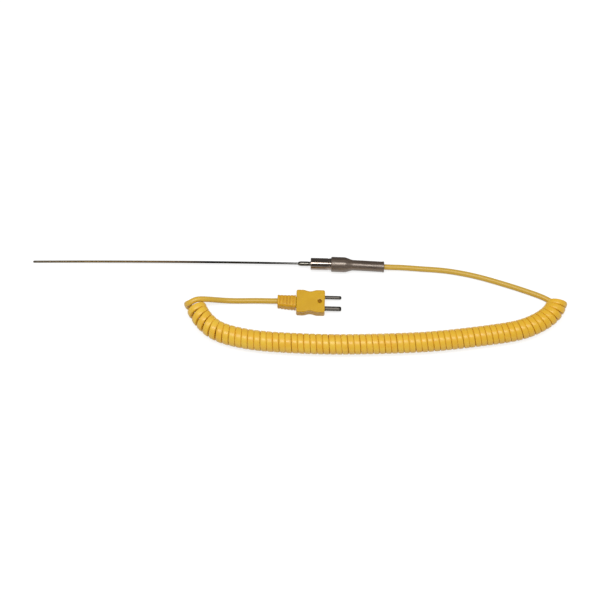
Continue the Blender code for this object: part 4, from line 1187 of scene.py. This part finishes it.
def make_pin(name, side):
    """A flat blade with a round tip, thinner at its very end, rubbed along its middle."""
    half = PIN_WIDTHS[name] / 2
    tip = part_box(name + "_pin")[1].x - PLUG_PLACE.x
    round_start = tip - PIN_TIP_RADIUS
    places = [PIN_REAR_X] + spaced(PIN_REAR_X, round_start, PIN_RINGS)
    for angle in spaced(0.0, 85.0, PIN_TIP_STEPS):
        places.append(round_start + PIN_TIP_RADIUS * math.sin(math.radians(angle)))
    sections = []
    for x in places:
        past = max(0.0, x - round_start)
        wide = half - PIN_TIP_RADIUS + math.sqrt(PIN_TIP_RADIUS**2 - past**2)
        thinning = PIN_TIP_THINNING * ease((x - tip + PIN_TIP_LENGTH) / PIN_TIP_LENGTH)
        thick = PIN_THICKNESS / 2 * (1 - thinning)
        sections.append((x, bar_section(wide, thick, min(PIN_EDGE, thick * 0.9), 10, 4)))
    pin = loft(name + "_blade", sections)
    shares = [abs(vert.co.y) / half for vert in pin.data.vertices]
    ends = [ease((tip - RUB_SETBACK - vert.co.x) / RUB_FADE) for vert in pin.data.vertices]
    paint(pin, "rub", [(1 - ease((share - 0.1) / 0.5)) * end for share, end in zip(shares, ends)])
    for vert in pin.data.vertices:
        vert.co.y += side * PIN_SPACING / 2
    return adopt(place_on_plug(pin), "pin_metal", name + "_pin")


def seen_rays(tree):
    """1 for camera, glossy and transmission rays, and 0 for the others."""
    rays = tree.nodes.new("ShaderNodeLightPath")
    total = rays.outputs["Is Camera Ray"]
    for kind in ("Is Glossy Ray", "Is Transmission Ray"):
        both = tree.nodes.new("ShaderNodeMath")
        both.operation = "MAXIMUM"
        tree.links.new(total, both.inputs[0])
        tree.links.new(rays.outputs[kind], both.inputs[1])
        total = both.outputs[0]
    return total


def switched(tree, seen, unseen_value, seen_value):
    """One value for the rays that show the background, and another for the rest."""
    chosen = tree.nodes.new("ShaderNodeMapRange")
    fill_in(chosen, To_Min=unseen_value, To_Max=seen_value)
    tree.links.new(seen, chosen.inputs["Value"])
    return chosen.outputs["Result"]


def sheet_of_stage(name, reach, profile):
    """A sheet of the stage, bent along these (y, z) points and reaching this far along X."""
    points = [(x, y, z) for y, z in profile for x in (-reach, reach)]
    strips = [(2 * k, 2 * k + 1, 2 * k + 3, 2 * k + 2) for k in range(len(profile) - 1)]
    sheet = new_piece(name, points, strips)
    material = bpy.data.materials.new(name)
    material.use_nodes = True
    sheet.data.materials.append(material)
    shader = material.node_tree.nodes["Principled BSDF"]
    fill_in(shader, Specular_IOR_Level=0.0, Emission_Color=WHITE)
    return sheet, material.node_tree, shader


def make_floor():
    """White paper that lights the object from below and keeps a faint shadow."""
    _, tree, shader = sheet_of_stage("floor", FLOOR_REACH, [(-FLOOR_REACH, 0.0), (FLOOR_REACH, 0.0)])
    fill_in(shader, Roughness=0.9)
    seen = seen_rays(tree)
    tree.links.new(switched(tree, seen, FLOOR_BOUNCE, FLOOR_SHADOW), shader.inputs["Base Color"])
    tree.links.new(switched(tree, seen, 0.0, FLOOR_LIFT), shader.inputs["Emission Strength"])


def make_cards():
    """Two dark cards that only reflections show, painting dark reflections: one overhead in front of the
    soft box, and one overhead behind it that comes down and lies on the floor behind the probe as
    painted shade."""
    near = BOX_Y - CARD_SLOT / 2
    far = BOX_Y + CARD_SLOT / 2
    profiles = {
        "front_card": [(near, CARD_HEIGHT), (near - CARD_REACH, CARD_HEIGHT)],
        "back_card": [
            (far, CARD_HEIGHT),
            (CARD_REACH, CARD_HEIGHT),
            # Painted shade: from here the card lies on the floor behind the probe, dark in reflections
            # only
            (CARD_REACH, CARD_FLOOR_Z),
            (CARD_FLOOR_Y, CARD_FLOOR_Z),
        ],
    }
    for name, profile in profiles.items():
        card, _, shader = sheet_of_stage(name, CARD_REACH, profile)
        fill_in(shader, Base_Color=BLACK, Emission_Strength=CARD_LEVEL)
        card.visible_camera = False
        card.visible_diffuse = False
        card.visible_transmission = False
        card.visible_shadow = False


def make_light():
    """A white sky that lights the object evenly, and a long soft box overhead."""
    world = bpy.data.worlds.new("studio")
    bpy.context.scene.world = world
    world.use_nodes = True
    tree = world.node_tree
    background = tree.nodes["Background"]
    fill_in(background, Color=WHITE)
    tree.links.new(switched(tree, seen_rays(tree), SKY_LIGHT, 1.0), background.inputs["Strength"])
    box = bpy.data.lights.new("soft_box", "AREA")
    box.shape = "RECTANGLE"
    box.size = BOX_LENGTH
    box.size_y = BOX_WIDTH
    box.energy = BOX_POWER
    placed("soft_box", box).location = (BOX_X, BOX_Y, BOX_HEIGHT)


def make_camera():
    data = bpy.data.cameras.new("camera")
    data.lens = LENS
    data.sensor_width = 36.0
    data.clip_start = 0.01
    camera = placed("camera", data)
    level = math.cos(VIEW_ELEVATION)
    aside = math.sin(VIEW_AZIMUTH) * level
    back = Vector((aside, -math.cos(VIEW_AZIMUTH) * level, math.sin(VIEW_ELEVATION)))
    camera.location = VIEW_TARGET + back * VIEW_DISTANCE
    camera.rotation_euler = back.to_track_quat("Z", "Y").to_euler()
    bpy.context.scene.camera = camera


for entry in frame["record"]["subparts"]:
    dress(NODES[entry["node"]], entry["material_slot"])

make_camera()
cord, cord_line, cord_length = make_cord()
make_light()
make_floor()
make_cards()
make_needle()
make_nose()
make_barrel()
make_sleeve()
on_cord = [make_boot(), make_plug_base(), make_plug_cover()]
on_cord += [make_pin("positive", 1), make_pin("negative", -1)]
for part in ("terminal_screw", "terminal_plate", "tail"):
    on_cord += [NODES["positive_" + part], NODES["negative_" + part]]
on_cord.append(NODES["cover_screw"])

bpy.context.scene.view_settings.view_transform = "Standard"
